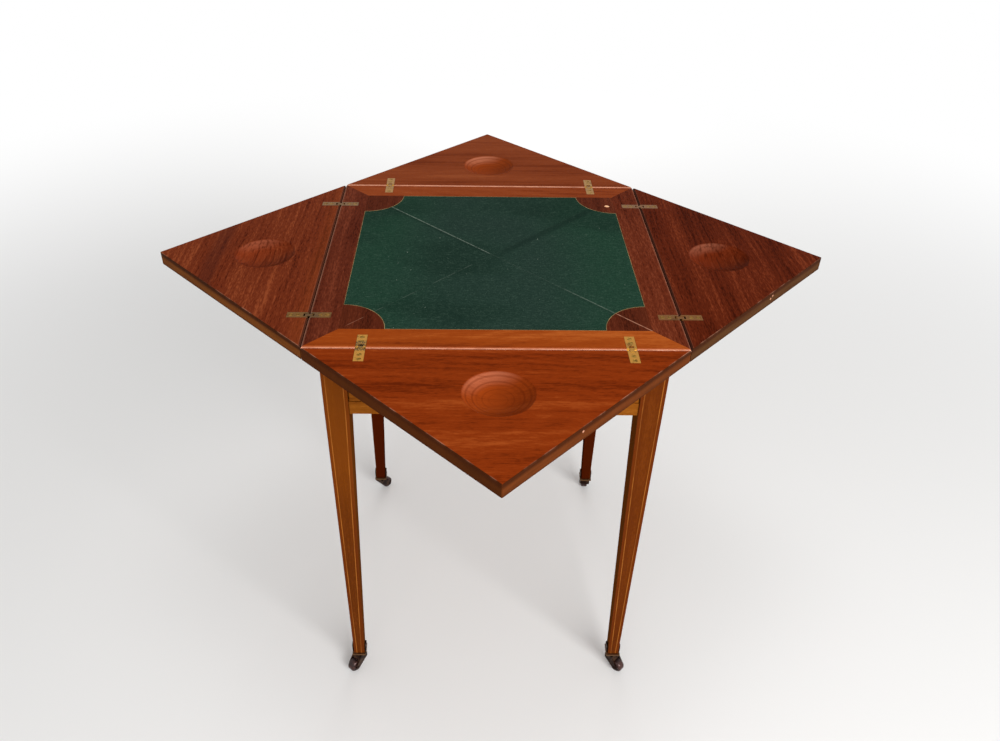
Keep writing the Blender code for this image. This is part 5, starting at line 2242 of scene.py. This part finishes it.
    def wheel(self) -> Shape:
        """Turns a wheel with a crowned tread and recessed sides.

        Returns:
            The wheel, about X.
        """
        half, radius, crown = self.wheel_half, self.wheel_radius, self.crown_radius
        recess = half - self.wheel_recess
        side = [(self.axle_radius + self.axle_gap, half), (self.hub_radius - self.hub_arris, half),
                (self.hub_radius, half - self.hub_arris), (self.hub_radius, recess),
                (radius - self.rim, recess), (radius - crown, half - self.rim_arris),
                *arc((radius - crown, half - crown), crown, 80, 10, 8),
                (radius - self.tread[0], half - self.tread[1])]
        wheel = turned([(r, -x) for r, x in side] + [(r, x) for r, x in reversed(side)], self.steps)
        changed(wheel, Matrix.Rotation(math.pi / self.steps, 4, "Z"))
        return changed(wheel, Matrix.Rotation(math.pi / 2, 4, "Y"))

    def screws(self, leg: Leg, centre: float) -> None:
        """Screws the lugs to the legs, one each.

        Args:
            leg: The leg.
            centre: The foot's middle, along X and Y.
        """
        spots, facings = [], []
        height = self.height + self.lug_height * self.screw_share
        for corner in Corner:
            across, back = corner.value
            for side, way in ((0, -1), (1, 1)):
                out = leg.faces(height)[side] + way * (CLEARANCE + self.lug_thickness + self.screw_proud)
                spots.append((out * across, centre * back, height))
                facings.append((float(way * across), 0.0, 0.0))
        screws = Screws(self.screw_radius, self.screw_depth, self.screw_slot, Palette.bronze, self.screw_turn)
        screws.drive("lug_screws", "frame", "castor", spots, facings, self.seed)

    def build(self, leg: Leg) -> None:
        """Places the castors where the frame has them.

        Args:
            leg: The leg that they stand under.
        """
        centre = PLAN.half_frame - leg.outer_taper - leg.foot / 2
        self.screws(leg, centre)
        for corner in Corner:
            low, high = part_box(f"castor_wheel_{corner.label}")
            foot = Vector((centre * corner.value[0], centre * corner.value[1], 0))
            trail = (low + high) / 2 - foot
            angle = math.atan2(trail.y, trail.x) - math.pi / 2
            turn = Matrix.Translation(foot) @ Matrix.Rotation(angle, 4, "Z")
            wheel = moved(self.wheel(), y=self.trail, z=self.wheel_radius)
            for part, body, finish, shape, stand in (
                    ("socket", "frame", Palette.socket, self.socket(leg, centre), corner.mirror),
                    ("horn", f"horn_{corner.label}", Palette.bronze, self.horn(), turn),
                    ("wheel", f"wheel_{corner.label}", Palette.wheel, wheel, turn)):
                node = f"castor_{part}_{corner.label}"
                Piece(f"{node}_metal", body, finish, "castor", (node,)).place(changed(shape, stand))


@dataclass
class Studio:
    """A pale floor, soft light, a white background and the camera."""

    floor_half: float = 9.0
    floor_colour: Colour = (0.84, 0.835, 0.825)
    fade: Flat = (0.9, 3.3)
    glow: float = 1.0
    level: float = 0.5
    lens: float = 30.78
    spot: Spot = (-0.0411, -1.2389, 1.4206)
    pitch: float = 53.734
    roll: float = -1.237
    yaw: float = 0.658
    shift: Flat = (0.023, 0.0044)
    clip: Flat = (0.05, 60.0)

    def floor(self) -> None:
        """Lays the floor, which fades into pure white far from the table."""
        half = self.floor_half
        mesh = bpy.data.meshes.new("floor")
        mesh.from_pydata([(-half, -half, 0), (half, -half, 0), (half, half, 0), (-half, half, 0)], [],
                         [(0, 1, 2, 3)])
        floor = linked("floor", mesh)
        material = bpy.data.materials.new("pale_floor")
        tree = Tree.of(material)
        x, y, _ = tree.parts(tree.place())
        far = ((x * x + y * y) ** 0.5).ramp(*self.fade)
        black = (0.0, 0.0, 0.0)
        tree.surface(Base_Color=tree.mix(far, self.floor_colour, black), Roughness=0.9,
                     Specular_IOR_Level=0.0, Emission_Strength=1.0,
                     Emission_Color=tree.mix(far, black, (self.glow,) * 3))
        mesh.materials.append(material)

    def light(self, name: str, spot: Spot, aim: Spot, size: Flat, power: float,
              mirrored: bool = True) -> None:
        """Hangs an area light.

        Args:
            name: Its name.
            spot, aim: Where it is and what it points at.
            size: Its two sides.
            power: Its watts.
            mirrored: Whether reflections show it.
        """
        data = bpy.data.lights.new(name, "AREA")
        data.shape = "RECTANGLE"
        data.size, data.size_y = size
        data.energy = power
        lamp = linked(name, data)
        lamp.visible_glossy = mirrored
        lamp.location = spot
        lamp.rotation_euler = (Vector(aim) - Vector(spot)).to_track_quat("-Z", "Y").to_euler()

    def world(self) -> None:
        """Soft grey light, and white where the camera or a reflection looks past the table."""
        world = bpy.data.worlds.new("studio")
        bpy.context.scene.world = world
        tree = Tree.of(world)
        seen = tree.add("ShaderNodeLightPath", output="Is Camera Ray")
        for ray in ("Is Glossy Ray", "Is Transmission Ray"):
            seen = seen.most(tree.add("ShaderNodeLightPath", output=ray))
        soft, white = (tree.add("ShaderNodeBackground", inputs={"Color": (1.0,) * 4, "Strength": strength})
                       for strength in (self.level, 1.0))
        both = tree.add("ShaderNodeMixShader", inputs={0: seen, 1: soft, 2: white})
        tree.add("ShaderNodeOutputWorld", inputs={"Surface": both})

    def camera(self) -> None:
        """Sets the camera at the picture's angle."""
        data = bpy.data.cameras.new("camera")
        data.lens = self.lens
        data.shift_x, data.shift_y = self.shift
        data.clip_start, data.clip_end = self.clip
        camera = linked("camera", data)
        camera.rotation_mode = "YXZ"
        camera.location = self.spot
        camera.rotation_euler = [math.radians(angle) for angle in (self.pitch, self.roll, self.yaw)]
        bpy.context.scene.camera = camera

    def build(self) -> None:
        """Sets the floor, the lights, the world and the camera."""
        self.floor()
        low_aim, low_size = (0.0, 0.0, 0.4), (1.6, 0.9)
        self.light("front_key", (1.7, -3.1, 2.1), (0.0, 0.0, 0.6), (2.4, 1.4), 128.0)
        self.light("front_fill", (-0.9, -3.4, 0.9), low_aim, low_size, 18.0, mirrored=False)
        self.light("back_fill", (0.3, 3.4, 0.9), low_aim, low_size, 26.0, mirrored=False)
        self.light("overhead", (0.0, 0.0, 2.9), (0.0, 0.0, 0.7), (0.9, 0.9), 8.0)
        self.world()
        self.camera()
        bpy.context.scene.view_settings.view_transform = "Standard"


def main() -> None:
    """Builds the table and its studio."""
    logging.basicConfig(level=logging.INFO, format="%(name)s %(message)s")
    hinges, leg = Hinges(), Leg()
    Bed(hinges).build()
    Cloth().build()
    Flaps(hinges).build()
    hinges.build()
    leg.build()
    Rails().build()
    Drawer().build()
    Castors().build(leg)
    Studio().build()


if __name__ == "__main__":
    main()
